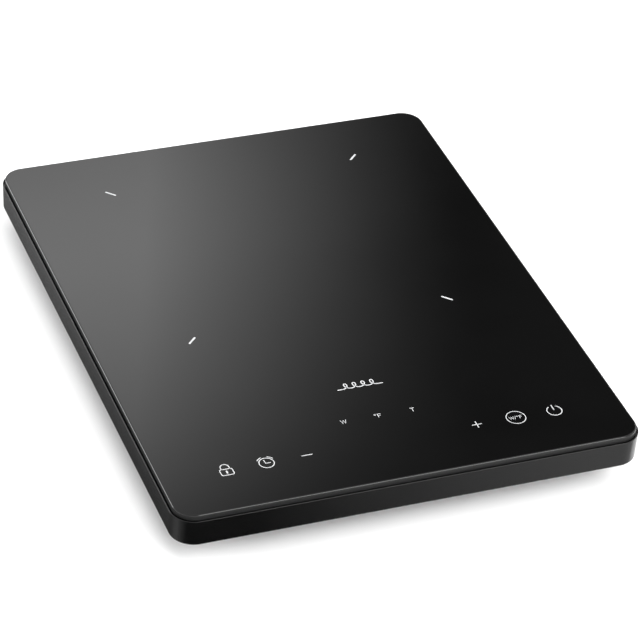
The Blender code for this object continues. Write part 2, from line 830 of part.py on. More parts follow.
def make_leads():
    """The two ends of the winding, down to the power board."""
    start = COIL_Z - COIL_WIRE - GAP
    solder_top = PART_BASE + 0.3 * MM
    inner_end, outer_end = [(x, LEAD_BOARD_Y) for x in LEAD_BOARD_X]
    inner_x, inner_y = coil_point(0)[:2]
    inner = (
        (inner_x, inner_y, start),
        (inner_x, inner_y, 27.5 * MM),
        (0, inner_y - 7.5 * MM, 24.6 * MM),
        (0, 0, 24.5 * MM),
        (3 * MM, -22 * MM, 24.5 * MM),
        (10 * MM, -36 * MM, 23.5 * MM),
        (inner_end[0], -46 * MM, 19.5 * MM),
        (*inner_end, 17 * MM),
        (*inner_end, solder_top),
    )
    tube_part("coil_lead_inner", "red_sleeve", smooth_route(inner, 3), LEAD_RADIUS, sides=1)
    outer_x, outer_y = coil_point(COIL_TURNS)[:2]
    outer = (
        (outer_x, outer_y, start),
        (outer_x, outer_y, 27.5 * MM),
        (33 * MM, -33 * MM, 23.5 * MM),
        (31 * MM, -46 * MM, 19 * MM),
        (*outer_end, 17 * MM),
        (*outer_end, solder_top),
    )
    tube_part("coil_lead_outer", "red_sleeve", smooth_route(outer, 3), LEAD_RADIUS, sides=1)


# Cooling fan ------------------------------------------------------------------------------


def make_fan_axis():
    axis = bpy.data.objects.new("fan_axis", None)
    axis.location = (*FAN_AT, 0)
    axis.empty_display_size = FAN_BORE
    parts.objects.link(axis)
    return axis


def make_fan_frame(axis):
    middle = FAN_UNDER + FAN_THICK / 2
    frame = block_part(
        "fan_frame", "black_plastic", (0, 0, 0), (FAN_SIDE, FAN_SIDE, FAN_THICK), corner=5 * MM, parent=axis
    )
    frame.data.transform(Matrix.Translation((0, 0, middle)))

    def fan_bore(bm):
        rod(bm, (0, 0), FAN_BORE, FAN_UNDER - 1 * MM, FAN_UNDER + FAN_THICK + 1 * MM, steps=32)

    def fan_corner_holes(bm):
        for at in corners((35.5 * MM, 35.5 * MM)):
            rod(bm, at, 2 * MM, FAN_UNDER - 1 * MM, FAN_UNDER + FAN_THICK + 1 * MM, steps=12)

    def spider_hub(bm):
        rod(bm, (0, 0), 14 * MM, FAN_UNDER + 0.2 * MM, SPIDER_TOP, steps=24)

    def spider_arms(bm):
        reach = 78 * MM
        height = (FAN_UNDER + 0.4 * MM, SPIDER_TOP - 0.2 * MM)
        z = sum(height) / 2
        block(bm, (0, 0, z), (reach, 4 * MM, height[1] - height[0]))

    def spider_arms_across(bm):
        reach = 78 * MM
        height = (FAN_UNDER + 0.5 * MM, SPIDER_TOP - 0.3 * MM)
        z = sum(height) / 2
        block(bm, (0, 0, z), (4 * MM, reach, height[1] - height[0]))

    cut(frame, fan_bore)
    cut(frame, fan_corner_holes)
    join(frame, spider_arms)
    join(frame, spider_arms_across)
    join(frame, spider_hub)


def make_fan_motor(axis):
    base = SPIDER_TOP + GAP
    bearing = (
        (3.1 * MM, 19.8 * MM),
        (3.1 * MM, base),
        (1.7 * MM, base),
        (1.7 * MM, 19.8 * MM),
    )
    turned_part("fan_bearing", "brass", (0, 0), bearing, steps=20, closed=True, parent=axis)
    stator = (
        (10.8 * MM, 19.2 * MM),
        (10.8 * MM, 16.5 * MM),
        (8 * MM, 16 * MM),
        (8 * MM, 14.2 * MM),
        (10.8 * MM, 13.7 * MM),
        (10.8 * MM, base),
        (3.4 * MM, base),
        (3.4 * MM, 19.2 * MM),
    )
    turned_part("fan_stator", "copper", (0, 0), stator, steps=18, closed=True, parent=axis)
    shaft = (
        (0, FAN_HUB_TOP - 1.8 * MM),
        (1.4 * MM, FAN_HUB_TOP - 1.8 * MM),
        (1.4 * MM, base + 0.4 * MM),
        (0, base + 0.4 * MM),
    )
    turned_part("fan_shaft", "steel", (0, 0), shaft, steps=16, parent=axis)
    magnet = (
        (13.2 * MM, FAN_HUB_TOP - 1.8 * MM),
        (13.2 * MM, FAN_HUB_UNDER + 0.5 * MM),
        (11.6 * MM, FAN_HUB_UNDER + 0.5 * MM),
        (11.6 * MM, FAN_HUB_TOP - 1.8 * MM),
    )
    turned_part("fan_magnet", "ferrite", (0, 0), magnet, steps=18, closed=True, parent=axis)


def make_fan_rotor(axis):
    hub = (
        (0, FAN_HUB_TOP),
        (FAN_HUB_RADIUS - 1 * MM, FAN_HUB_TOP),
        (FAN_HUB_RADIUS, FAN_HUB_TOP - 1 * MM),
        (FAN_HUB_RADIUS, FAN_HUB_UNDER),
        (FAN_HUB_RADIUS - 1.5 * MM, FAN_HUB_UNDER),
        (FAN_HUB_RADIUS - 1.5 * MM, FAN_HUB_TOP - 1.5 * MM),
        (0, FAN_HUB_TOP - 1.5 * MM),
    )
    rotor = turned_part("fan_rotor", "black_plastic", (0, 0), hub, steps=28, parent=axis)

    def blades(bm):
        root = FAN_HUB_RADIUS - 0.8 * MM
        tilt = Matrix.Rotation(BLADE_PITCH, 4, "X")
        for number in range(FAN_BLADES):
            place = Matrix.Translation(((root + BLADE_TIP) / 2, 0, BLADE_Z))
            turn = Matrix.Rotation(number * 2 * pi / FAN_BLADES, 4, "Z") @ place @ tilt
            block(bm, (0, 0, 0), (BLADE_TIP - root, BLADE_CHORD, BLADE_THICK), turn)

    join(rotor, blades)


# Power board ------------------------------------------------------------------------------


def make_power_board():
    middle = (*BOARD_AT, BOARD_UNDER + BOARD_THICK / 2)
    block_part("power_board", "green_board", middle, (*BOARD_SIZE, BOARD_THICK), corner=2 * MM)


def make_heat_sink():
    """An extruded comb: its outline is drawn across the fins and given the sink's length."""
    curve = bpy.data.curves.new("heat_sink_outline", "CURVE")
    curve.dimensions = "2D"
    curve.fill_mode = "BOTH"
    curve.extrude = SINK_SIZE[0] / 2
    half = SINK_SIZE[1] / 2
    pitch = (SINK_SIZE[1] - SINK_FIN_THICK) / (SINK_FINS - 1)
    fin_height = SINK_TOP - SINK_UNDER
    points = [(-half, 0), (half, 0)]
    for fin in range(SINK_FINS - 1, -1, -1):
        left = -half + fin * pitch
        right = left + SINK_FIN_THICK
        points += [(right, SINK_BASE)] if fin < SINK_FINS - 1 else []
        points += [(right, fin_height), (left, fin_height)]
        points += [(left, SINK_BASE)] if fin > 0 else []
    spline = curve.splines.new("POLY")
    spline.points.add(len(points) - 1)
    for target, (across, up) in zip(spline.points, points):
        target.co = (across, up, 0, 1)
    spline.use_cyclic_u = True
    outline_object = bpy.data.objects.new("heat_sink_outline", curve)
    bpy.context.scene.collection.objects.link(outline_object)
    bm = bmesh.new()
    bm.from_mesh(evaluated_mesh(outline_object))
    bpy.data.objects.remove(outline_object)
    bmesh.ops.remove_doubles(bm, verts=bm.verts, dist=0.00001)
    stand_up = Matrix.Rotation(pi / 2, 4, "Z") @ Matrix.Rotation(pi / 2, 4, "X")
    bmesh.ops.transform(bm, matrix=stand_up, verts=bm.verts)
    add_part("heat_sink", mesh_from(bm, "heat_sink"), "aluminium", at=(*SINK_AT, SINK_UNDER))


def power_part(name, edge=0.6 * MM):
    """A block-shaped component, standing on the power board."""
    finish, at, size = POWER_PARTS[name]
    length, width, height = [side * MM for side in size]
    middle = (at[0] * MM, at[1] * MM, PART_BASE + height / 2)
    return block_part(name, finish, middle, (length, width, height), edge=edge)


def make_power_parts():
    igbt = power_part("igbt_switch")
    bridge = power_part("bridge_rectifier")

    def tab_hole(bm):
        rod(bm, (igbt.location.x, TAB_HOLE_Y), TAB_HOLE_RADIUS, BOARD_TOP, SINK_UNDER, steps=12)

    def bridge_hole(bm):
        rod(bm, bridge.location.xy, TAB_HOLE_RADIUS, BOARD_TOP, SINK_UNDER, steps=12)

    cut(igbt, tab_hole)
    cut(bridge, bridge_hole)
    for name in ("dc_link_capacitor", "resonant_capacitor", "filter_capacitor"):
        power_part(name)
    make_choke()
    make_transformer()
    make_fuse()
    make_varistor()
    make_terminal()


def make_choke():
    """A ring choke, lying flat."""
    bpy.ops.mesh.primitive_torus_add(
        major_radius=CHOKE_RING, minor_radius=CHOKE_THICK, major_segments=20, minor_segments=8
    )
    torus = bpy.context.object
    mesh = torus.data
    bpy.data.objects.remove(torus)
    smooth(mesh)
    add_part("smoothing_choke", mesh, "copper", at=(*CHOKE_AT, PART_BASE + CHOKE_THICK))


def make_transformer():
    core = power_part("standby_transformer", edge=0.4 * MM)

    def bobbin(bm):
        block(bm, (0, 0, 0), (13 * MM, 17 * MM, 10 * MM))

    join(core, bobbin)
    cutters.objects["standby_transformer_bobbin"].location = core.location


def make_fuse():
    """A cartridge fuse, lying along X in its clips."""
    cap = 2.6 * MM
    glass = 2.2 * MM
    half = 10 * MM
    cap_length = 5 * MM
    profile = (
        (0, half),
        (cap, half),
        (cap, half - cap_length),
        (glass, half - cap_length),
        (glass, cap_length - half),
        (cap, cap_length - half),
        (cap, -half),
        (0, -half),
    )
    fuse = turned_part("mains_fuse", "clear_glass", (0, 0), profile, steps=16)
    fuse.rotation_euler.y = pi / 2
    fuse.location = (*FUSE_AT, PART_BASE + cap + 1 * MM)


def make_varistor():
    half = 2 * MM
    face = VARISTOR_RADIUS - 1 * MM
    rim = 0.8 * MM
    profile = (
        (0, half),
        (face, half),
        (VARISTOR_RADIUS, rim),
        (VARISTOR_RADIUS, -rim),
        (face, -half),
        (0, -half),
    )
    varistor = turned_part("surge_varistor", "blue_film", (0, 0), profile, steps=20)
    varistor.rotation_euler.x = pi / 2
    varistor.location = (*VARISTOR_AT, PART_BASE + VARISTOR_RADIUS)


def make_terminal():
    terminal = power_part("mains_terminal", edge=0)
    middle = terminal.location
    wire_pitch = 7 * MM
    wire_radius = 1.9 * MM

    def wire_entries(bm):
        for place in (-1, 0, 1):
            x = middle.x + place * wire_pitch
            front = middle.y - 9 * MM
            rod_along_y(bm, x, PART_BASE + 4 * MM, wire_radius, front, middle.y + 2 * MM, steps=12)

    cut(terminal, wire_entries)


# Controls ---------------------------------------------------------------------------------


def make_control_board():
    middle = (*CONTROL_AT, CONTROL_UNDER + BOARD_THICK / 2)
    block_part("control_board", "green_board", middle, (*CONTROL_SIZE, BOARD_THICK), corner=2 * MM)


def make_touch_springs():
    """Coil springs that carry each touch key from the board up to the glass."""
    low = CONTROL_TOP + GAP + SPRING_WIRE
    high = GLASS_UNDER - GAP - SPRING_WIRE
    steps = 21
    for key, x in KEY_X.items():
        points = []
        for step in range(steps + 1):
            share = step / steps
            place = polar((x, KEY_ROW), SPRING_RADIUS, 2 * pi * SPRING_TURNS * share)
            points.append((*place, low + (high - low) * share))
        tube_part(f"touch_spring_{key}", "steel", points, SPRING_WIRE, sides=0)


def make_display():
    middle = (*DISPLAY_AT, CONTROL_TOP + GAP + DISPLAY_SIZE[2] / 2)
    block_part("display_module", "black_plastic", middle, DISPLAY_SIZE, edge=0.5 * MM)


def make_buzzer():
    low = CONTROL_TOP + GAP
    high = low + BUZZER_TALL
    sound_hole = 1.1 * MM
    hole_floor = high - 1.5 * MM
    edge = 0.5 * MM
    profile = (
        (0, hole_floor),
        (sound_hole, hole_floor),
        (sound_hole, high),
        (BUZZER_RADIUS - edge, high),
        (BUZZER_RADIUS, high - edge),
        (BUZZER_RADIUS, low),
        (0, low),
    )
    turned_part("buzzer", "black_plastic", BUZZER_AT, profile, steps=20)


def make_ribbon():
    """A flat cable over the rear edge of the control board and down to the power board."""
    over = CONTROL_TOP + GAP + RIBBON_THICK / 2
    route = smooth_route(
        (
            (RIBBON_X, -119 * MM, over),
            (RIBBON_X, -113 * MM, over),
            (RIBBON_X, -109.5 * MM, over - 1 * MM),
            (RIBBON_X, -108.5 * MM, 25 * MM),
            (RIBBON_X, -108.5 * MM, PART_BASE),
        ),
        3,
    )
    bm = bmesh.new()
    half = Vector((RIBBON_WIDE / 2, 0, 0))
    rows = [[bm.verts.new(point + side * half) for side in (-1, 1)] for point in route]
    for near, far in zip(rows, rows[1:]):
        bm.faces.new((near[0], near[1], far[1], far[0]))
    ribbon = add_part("ribbon_cable", mesh_from(bm, "ribbon_cable"), "grey_plastic")
    sheet = ribbon.modifiers.new("thickness", "SOLIDIFY")
    sheet.thickness = RIBBON_THICK
    sheet.offset = 0


def make_cooktop():
    make_glass()
    make_gasket()
    make_frame()
    make_lower_housing()
    make_feet()
    make_housing_screws()
    make_gland()
    make_coil()
    make_former()
    make_ferrites()
    make_shield()
    make_mica()
    make_pan_sensor()
    make_coil_screws()
    make_leads()
    axis = make_fan_axis()
    make_fan_frame(axis)
    make_fan_motor(axis)
    make_fan_rotor(axis)
    make_power_board()
    make_heat_sink()
    make_power_parts()
    make_control_board()
    make_touch_springs()
    make_display()
    make_buzzer()
    make_ribbon()


make_cooktop()
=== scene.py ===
# %% [markdown]
# # Dressing a portable induction cooktop
#
# The working model comes first: every part at its real size, with a fan that really turns. This
# lesson gives it its looks. The parts that show, and the few whose charm is in their fineness, are
# made again with more care at the same size, and every other part gets a finish of its own.
#
# The origin is on the floor under the middle. +X is the cook's right, +Y is away from the cook and
# +Z is up. Blender works in metres, so lengths below are millimetres times `MM`.

# %% Load the working model
import json
from math import cos, pi, radians, sin, sqrt

import bmesh
import bpy
from mathutils import Matrix, Quaternion, Vector


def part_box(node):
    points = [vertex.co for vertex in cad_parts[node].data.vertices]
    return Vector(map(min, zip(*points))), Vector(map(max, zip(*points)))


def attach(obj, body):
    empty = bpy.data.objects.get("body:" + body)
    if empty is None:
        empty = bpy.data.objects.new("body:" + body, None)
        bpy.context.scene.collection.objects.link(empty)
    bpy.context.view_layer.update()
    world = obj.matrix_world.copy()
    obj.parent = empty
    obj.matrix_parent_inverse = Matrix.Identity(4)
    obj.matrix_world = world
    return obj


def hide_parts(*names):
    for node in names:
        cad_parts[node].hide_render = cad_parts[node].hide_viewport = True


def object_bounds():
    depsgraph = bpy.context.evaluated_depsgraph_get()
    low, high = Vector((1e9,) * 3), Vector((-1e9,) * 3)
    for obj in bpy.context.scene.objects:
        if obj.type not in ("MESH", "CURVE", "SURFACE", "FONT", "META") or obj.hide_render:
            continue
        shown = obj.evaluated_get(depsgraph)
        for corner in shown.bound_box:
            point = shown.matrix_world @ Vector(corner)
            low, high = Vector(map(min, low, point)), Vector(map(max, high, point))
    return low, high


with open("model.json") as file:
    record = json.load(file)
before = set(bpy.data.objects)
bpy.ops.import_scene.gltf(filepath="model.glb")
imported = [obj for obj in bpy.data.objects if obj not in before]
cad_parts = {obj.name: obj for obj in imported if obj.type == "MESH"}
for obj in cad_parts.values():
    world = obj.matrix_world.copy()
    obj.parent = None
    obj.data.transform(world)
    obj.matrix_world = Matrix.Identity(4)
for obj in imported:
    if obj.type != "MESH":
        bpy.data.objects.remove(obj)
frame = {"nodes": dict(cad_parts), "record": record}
cad_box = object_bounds()
MM = 0.001
print("working model:", [round(length / MM, 1) for length in cad_box[1] - cad_box[0]], "mm")

# %% [markdown]
# ## Camera
#
# A product picture of something flat is taken from well back with a long lens, so that the far edge
# stays almost as wide as the near one. Saying where the lens looks, from which side and how far
# away is easier to reason about than a position and three angles, so the script works those out.
# A slight roll tips the whole picture, which makes a square thing livelier.

# %% Camera
AIM = Vector((-1 * MM, -25 * MM, 41 * MM))
AZIMUTH = radians(-22.44)
ELEVATION = radians(35.49)
ROLL = radians(4)
DISTANCE = 1.9716
LENS = 186.65

toward_camera = Vector(
    (sin(AZIMUTH) * cos(ELEVATION), -cos(AZIMUTH) * cos(ELEVATION), sin(ELEVATION))
)
lens = bpy.data.cameras.new("camera")
lens.lens = LENS
lens.clip_start = 0.1
lens.clip_end = 30
camera = bpy.data.objects.new("camera", lens)
camera.location = AIM + toward_camera * DISTANCE
turn = toward_camera.to_track_quat("Z", "Y") @ Quaternion((0, 0, 1), ROLL)
camera.rotation_euler = turn.to_euler()
bpy.context.scene.collection.objects.link(camera)
bpy.context.scene.camera = camera
bpy.context.scene.view_settings.view_transform = "Standard"
print("camera at", [round(value, 3) for value in camera.location])

# %% [markdown]
# ## A bench for mixing finishes
#
# A finish in Blender is a small graph of nodes, and wiring one by hand hides the idea under the
# plumbing. `Wire` wraps one output so that ordinary sums read as sums: `1 - mask * 2` adds the Math
# nodes for you. `Recipe` holds one node tree and has one method, `node`, that takes a node's type,
# its settings and what goes into it. Colours and places go through Mix and Vector Math, because a
# Math node would turn them grey.

# %% Wires and recipes


class Wire:
    """One value on its way through a node tree."""

    def __init__(self, recipe, socket):
        self.recipe = recipe
        self.socket = socket

    def math(self, operation, left, right=0.0):
        return self.recipe.node("ShaderNodeMath", {"operation": operation}, {0: left, 1: right})

    def __add__(self, other):
        return self.math("ADD", self, other)

    def __sub__(self, other):
        return self.math("SUBTRACT", self, other)

    def __rsub__(self, other):
        return self.math("SUBTRACT", other, self)

    def __mul__(self, other):
        return self.math("MULTIPLY", self, other)

    def __truediv__(self, other):
        return self.math("DIVIDE", self, other)

    def __pow__(self, other):
        return self.math("POWER", self, other)

    def __gt__(self, other):
        return self.math("GREATER_THAN", self, other)

    def __lt__(self, other):
        return self.math("LESS_THAN", self, other)

    def __abs__(self):
        return self.math("ABSOLUTE", self)

    __radd__ = __add__
    __rmul__ = __mul__

    def sine(self):
        return self.math("SINE", self)

    def wrapped(self, pitch):
        """How far past the last whole pitch this value is, from 0 to 1."""
        return self.math("FRACT", self / pitch)


class Recipe:
    """One node tree being built."""

    def __init__(self, tree):
        self.tree = tree

    def node(self, kind, settings=None, inputs=None, out=0):
        made = self.tree.nodes.new(kind)
        for name, value in (settings or {}).items():
            setattr(made, name, value)
        for name, value in (inputs or {}).items():
            self.feed(made.inputs[name], value)
        return Wire(self, made.outputs[out])

    def feed(self, socket, value):
        if isinstance(value, Wire):
            self.tree.links.new(value.socket, socket)
        elif socket.type == "RGBA" and len(value) == 3:
            socket.default_value = (*value, 1)
        else:
            socket.default_value = value


print("bench ready")

# %% [markdown]
# ## The patterns that finishes are made of
#
# Nearly every real surface is some mixture of clouds (a Noise texture), cells (a Voronoi texture)
# and stripes (a sine). All of them are read from the object's own coordinates in metres, so a
# pattern's size can be given as a real length: a mould's grain is about a third of a millimetre and
# the smear of a cleaning cloth is centimetres long.

# %% Patterns


class Finish(Recipe):
    """A material: what it varies over the surface goes into one Principled shader."""

    def __init__(self, name):
        self.material = bpy.data.materials.new(name)
        self.material.use_nodes = True
        super().__init__(self.material.node_tree)
        self.shader = self.tree.nodes["Principled BSDF"]

    def place(self, stretch=(1, 1, 1)):
        """Where on the object a point is; a stretch below 1 draws the pattern out that way."""
        at = self.node("ShaderNodeTexCoord", out="Object")
        if stretch == (1, 1, 1):
            return at
        return self.node("ShaderNodeVectorMath", {"operation": "MULTIPLY"}, {0: at, 1: stretch})

    def axes(self):
        at = self.place()
        return [self.node("ShaderNodeSeparateXYZ", None, {0: at}, out) for out in "XYZ"]

    def cloud(self, size, detail=2.0, stretch=(1, 1, 1)):
        """Soft noise from about 0.3 to 0.7, whose blotches are about size across."""
        values = {"Vector": self.place(stretch), "Scale": 1 / size, "Detail": detail}
        return self.node("ShaderNodeTexNoise", None, values, "Fac")

    def cells(self, size, out="Distance", feature="F1", stretch=(1, 1, 1)):
        values = {"Vector": self.place(stretch), "Scale": 1 / size}
        return self.node("ShaderNodeTexVoronoi", {"feature": feature}, values, out)

    def spread(self, value, low, high, to_low=0.0, to_high=1.0):
        """Maps low..high to to_low..to_high and holds it there."""
        values = {0: value, 1: low, 2: high, 3: to_low, 4: to_high}
        return self.node("ShaderNodeMapRange", None, values)

    def mix(self, share, first, second):
        return self.node("ShaderNodeMix", {"data_type": "RGBA"}, {0: share, 6: first, 7: second}, 2)

    def relief(self, height, depth):
        """A surface pushed in and out by a pattern from 0 to 1, depth metres deep."""
        return self.node("ShaderNodeBump", None, {"Height": height, "Distance": depth})

    def shade(self, **values):
        """Feeds the shader: base_color=..., roughness=... and so on."""
        for name, value in values.items():
            title = name.replace("_", " ").title().replace("Ior", "IOR")
            self.feed(self.shader.inputs[title], value)
        return self.material


print("patterns ready")

# %% [markdown]
# ## Studio
#
# The set is a pale floor under a soft, bright sky that darkens overhead, as inside a studio's light
# tent, with a large soft light behind on the left and another in front on the right. Two more
# only brighten the floor: they are hidden from reflections, as a lamp behind a screen would be.
#
# Shiny black has almost no colour of its own, so a picture of it is a picture of what stands round
# it. The glass sees the ceiling, and the side walls see the floor just in front of them. A
# studio lights both with cards: here a ceiling panel, bright over the left side and black
# over the right, and a glowing card on the floor, dark along the left end of the front and paler
# away from it. The card's glow is a painted reflection: its dark parts are painted shade, and a
# bright streak round the front left corner is a painted highlight. That card is hidden from the
# camera and casts no shadow, so it is only ever seen reflected.
#
# A level mirror maps the glass onto a level panel by plain enlargement, seen from the camera's
# mirror image below the glass, so the panel's pattern is written in millimetres on the glass.

# %% Floor and sky


def stage_piece(name, mesh, material):
    piece = bpy.data.objects.new(name, mesh)
    piece.data.materials.append(material)
    bpy.context.scene.collection.objects.link(piece)
    return piece


def sheet_mesh(name, half_x, half_y):
    mesh = bpy.data.meshes.new(name)
    ring = [(-half_x, -half_y, 0), (half_x, -half_y, 0), (half_x, half_y, 0), (-half_x, half_y, 0)]
    mesh.from_pydata(ring, [], [(0, 1, 2, 3)])
    return mesh


FLOOR_REACH = 9.0
FLOOR_WHITE = 0.93
FLOOR_DROP = 0.1 * MM  # keeps it from flickering through the feet's own flat faces

floor_finish = Finish("studio_floor")
floor_tone = floor_finish.spread(floor_finish.cloud(0.4), 0.3, 0.7)
underside = floor_finish.node("ShaderNodeNewGeometry", out="Backfacing")
floor_finish.shade(
    base_color=floor_finish.mix(floor_tone, (FLOOR_WHITE,) * 3, (FLOOR_WHITE + 0.02,) * 3),
    roughness=0.8,
    specular_ior_level=0.2,
    alpha=1 - underside,
)
floor_mesh = sheet_mesh("studio_floor", FLOOR_REACH, FLOOR_REACH)
floor = stage_piece("studio_floor", floor_mesh, floor_finish.material)
floor.location.z = -FLOOR_DROP

SKY_LEVEL = 1.15
SKY_OVERHEAD = 0.6
SKY_FALLS = (0.15, 0.95)  # heights between which it darkens, as a share of straight up

sky = bpy.data.worlds.new("studio_sky")
bpy.context.scene.world = sky
sky.use_nodes = True
air = Recipe(sky.node_tree)
direction = air.node("ShaderNodeTexCoord", out="Generated")
height = air.node("ShaderNodeSeparateXYZ", None, {0: direction}, "Z")
fall = {0: height, 1: SKY_FALLS[0], 2: SKY_FALLS[1], 3: SKY_LEVEL, 4: SKY_OVERHEAD}
background = sky.node_tree.nodes["Background"]
air.feed(background.inputs["Strength"], air.node("ShaderNodeMapRange", None, fall))
air.feed(background.inputs["Color"], (1, 1, 1))
print("sky from", SKY_LEVEL, "at the horizon to", SKY_OVERHEAD, "overhead")

# %% Soft lights
LIGHT_DISTANCE = 3.4
# For each light: the direction it stands in, its size in metres and its power in watts.
PICTURE_LIGHTS = {
    "light_rear_left": ((-0.62, 0.72, 0.31), (2.0, 1.2), 58),
    "light_front_right": ((0.31, -0.58, 0.75), (1.8, 1.2), 56),
}
FLOOR_LIGHTS = {
    "light_low_front": ((0.25, -0.78, 0.58), (2.4, 1.4), 68),
    "light_overhead": ((-0.13, -0.14, 0.98), (2.4, 1.4), 62),
}


def soft_light(name, direction, size, power):
    """A rectangular light that faces the cooktop from a given direction."""
    lamp = bpy.data.lights.new(name, "AREA")
    lamp.shape = "RECTANGLE"
    lamp.size, lamp.size_y = size
    lamp.energy = power
    light = bpy.data.objects.new(name, lamp)
    way = Vector(direction).normalized()
    light.location = way * LIGHT_DISTANCE
    light.rotation_euler = way.to_track_quat("Z", "Y").to_euler()
    bpy.context.scene.collection.objects.link(light)
    return light


for name, values in PICTURE_LIGHTS.items():
    soft_light(name, *values)
for name, values in FLOOR_LIGHTS.items():
    soft_light(name, *values).visible_glossy = False
print(len(PICTURE_LIGHTS), "soft lights and", len(FLOOR_LIGHTS), "for the floor")

# %% Ceiling panel seen in the glass
PANEL_HEIGHT = 3.0
PANEL_BRIGHT = 2.05
PANEL_COVERS = (200 * MM, 250 * MM)  # half sizes, measured on the glass
FADE_END_X = 65 * MM
FADE_LENGTH_X = 215 * MM
FADE_CURVE_X = 1.8
FADE_LEAN = 0.35
FADE_LEAN_FROM_Y = 130 * MM
BRIGHTEST_Y = 70 * MM
FADE_REACH_Y = 315 * MM
FADE_CURVE_Y = 1.6

glass_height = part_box("glass_plate")[1].z
camera_below = camera.location.copy()
camera_below.z = 2 * glass_height - camera_below.z
enlargement = (PANEL_HEIGHT - camera_below.z) / (glass_height - camera_below.z)

panel_finish = Finish("ceiling_panel")
panel_x, panel_y = panel_finish.axes()[:2]
glass_x = panel_x / enlargement
glass_y = panel_y / enlargement
leaned = glass_x - (glass_y + FADE_LEAN_FROM_Y) * FADE_LEAN
across = panel_finish.spread((FADE_END_X - leaned) / FADE_LENGTH_X, 0, 1)
along = 1 - (abs(glass_y - BRIGHTEST_Y) / FADE_REACH_Y) ** FADE_CURVE_Y
glow = across**FADE_CURVE_X * along
panel_finish.shade(
    base_color=(0, 0, 0),
    roughness=1.0,
    specular_ior_level=0.0,
    emission_color=panel_finish.mix(glow, (0, 0, 0), (1, 1, 1)),
    emission_strength=PANEL_BRIGHT,
)
panel_mesh = sheet_mesh("ceiling_panel", *[half * enlargement for half in PANEL_COVERS])
panel = stage_piece("ceiling_panel", panel_mesh, panel_finish.material)
panel.location = (
    camera_below.x * (1 - enlargement),
    camera_below.y * (1 - enlargement),
    PANEL_HEIGHT,
)
print("the panel enlarges the glass", round(enlargement, 2), "times")

# %% Floor card seen in the side walls
BODY_CORNER = 14.5 * MM
CARD_LIFT = 0.5 * MM
CARD_GAP = 2 * MM
CARD_REACH = 110 * MM
# Each fade goes from one place to another, and from one brightness to another.
FRONT_FADE = (-90 * MM, 130 * MM, 0.0, 0.85)
LEFT_FADE = (-110 * MM, 140 * MM, 0.12, 0.33)
OUTWARD_FADE = (6 * MM, 22 * MM, 0.55, 1.35)
# The streak is a painted highlight: a brighter band in the walls' reflection round the front left
# corner.
STREAK_AT = radians(80)  # round the front left corner, from the front towards the left side
STREAK_HALF = radians(38)
STREAK_BRIGHT = 0.5

body_low, body_high = cad_box
corner_x = body_low.x + BODY_CORNER
corner_y = body_low.y + BODY_CORNER
card_finish = Finish("floor_card")
card_x, card_y = card_finish.axes()[:2]
# The card's glow is a painted reflection. It is darker along the left end of the front and close to
# the left wall, as painted shade for the walls to reflect.
along_front = card_finish.spread(card_x, *FRONT_FADE)
along_left = card_finish.spread(card_y, *LEFT_FADE)
from_left = card_finish.spread(body_low.x - card_x, *OUTWARD_FADE)
round_corner = (corner_x - card_x).math("ARCTAN2", corner_x - card_x, corner_y - card_y)
on_left = round_corner > STREAK_AT
streak = card_finish.spread(abs(round_corner - STREAK_AT), 0, STREAK_HALF, STREAK_BRIGHT, 0)
card_glow = along_front * (1 - on_left) + along_left * from_left * on_left + streak
card_finish.shade(
    base_color=(0, 0, 0),
    roughness=1.0,
    specular_ior_level=0.0,
    emission_color=card_finish.mix(card_glow, (0, 0, 0), (1, 1, 1)),
    emission_strength=1.0,
)
card_mesh = bpy.data.meshes.new("floor_card")
outer = [
    (body_low.x - CARD_REACH, body_low.y - CARD_REACH),
    (body_high.x + CARD_REACH, body_low.y - CARD_REACH),
    (body_high.x + CARD_REACH, body_low.y - CARD_GAP),
    (body_low.x - CARD_GAP, body_low.y - CARD_GAP),
    (body_low.x - CARD_GAP, body_high.y + CARD_REACH),
    (body_low.x - CARD_REACH, body_high.y + CARD_REACH),
]
card_mesh.from_pydata([(*spot, CARD_LIFT) for spot in outer], [], [(0, 1, 2, 3), (0, 3, 4, 5)])
card = stage_piece("floor_card", card_mesh, card_finish.material)
for kind in ("camera", "diffuse", "transmission", "shadow"):
    setattr(card, "visible_" + kind, False)
print("a floor card reaches", round(CARD_REACH / MM), "mm out")

# %% [markdown]
# ## Building with bmesh
#
# The shell is all rounded rectangles stacked at different heights, so one function draws such a
# ring and another skins a stack of them. Round things are a profile turned about an axis, and wires
# are a section swept along a path. `make_piece` turns the result into an object that rides on a
# body of the working model, gives it its finish and hides the working part it takes the place of.

# %% Rings, stacks and pieces
CORNER_STEPS = 20


def rounded_ring(bm, half_x, half_y, corner, height):
    """One rounded rectangle's vertices, anticlockwise from its right side."""
    ring = []
    for quarter, (side_x, side_y) in enumerate(((1, 1), (-1, 1), (-1, -1), (1, -1))):
        for step in range(CORNER_STEPS + 1):
            angle = (quarter + step / CORNER_STEPS) * pi / 2
            x = side_x * (half_x - corner) + corner * cos(angle)
            y = side_y * (half_y - corner) + corner * sin(angle)
            ring.append(bm.verts.new((x, y, height)))
    return ring


def skin(bm, rings, closed=False):
    """Faces between rings of equally many vertices; closed joins the last ring to the first."""
    pairs = list(zip(rings, rings[1:]))
    if closed:
        pairs.append((rings[-1], rings[0]))
    for first, second in pairs:
        for here in range(len(first)):
            after = (here + 1) % len(first)
            bm.faces.new((first[here], first[after], second[after], second[here]))


def mesh_of(bm, name, sharp_from=radians(35)):
    mesh = bpy.data.meshes.new(name)
    bmesh.ops.recalc_face_normals(bm, faces=bm.faces)
    bm.to_mesh(mesh)
    bm.free()
    mesh.shade_smooth()
    mesh.set_sharp_from_angle(angle=sharp_from)
    return mesh


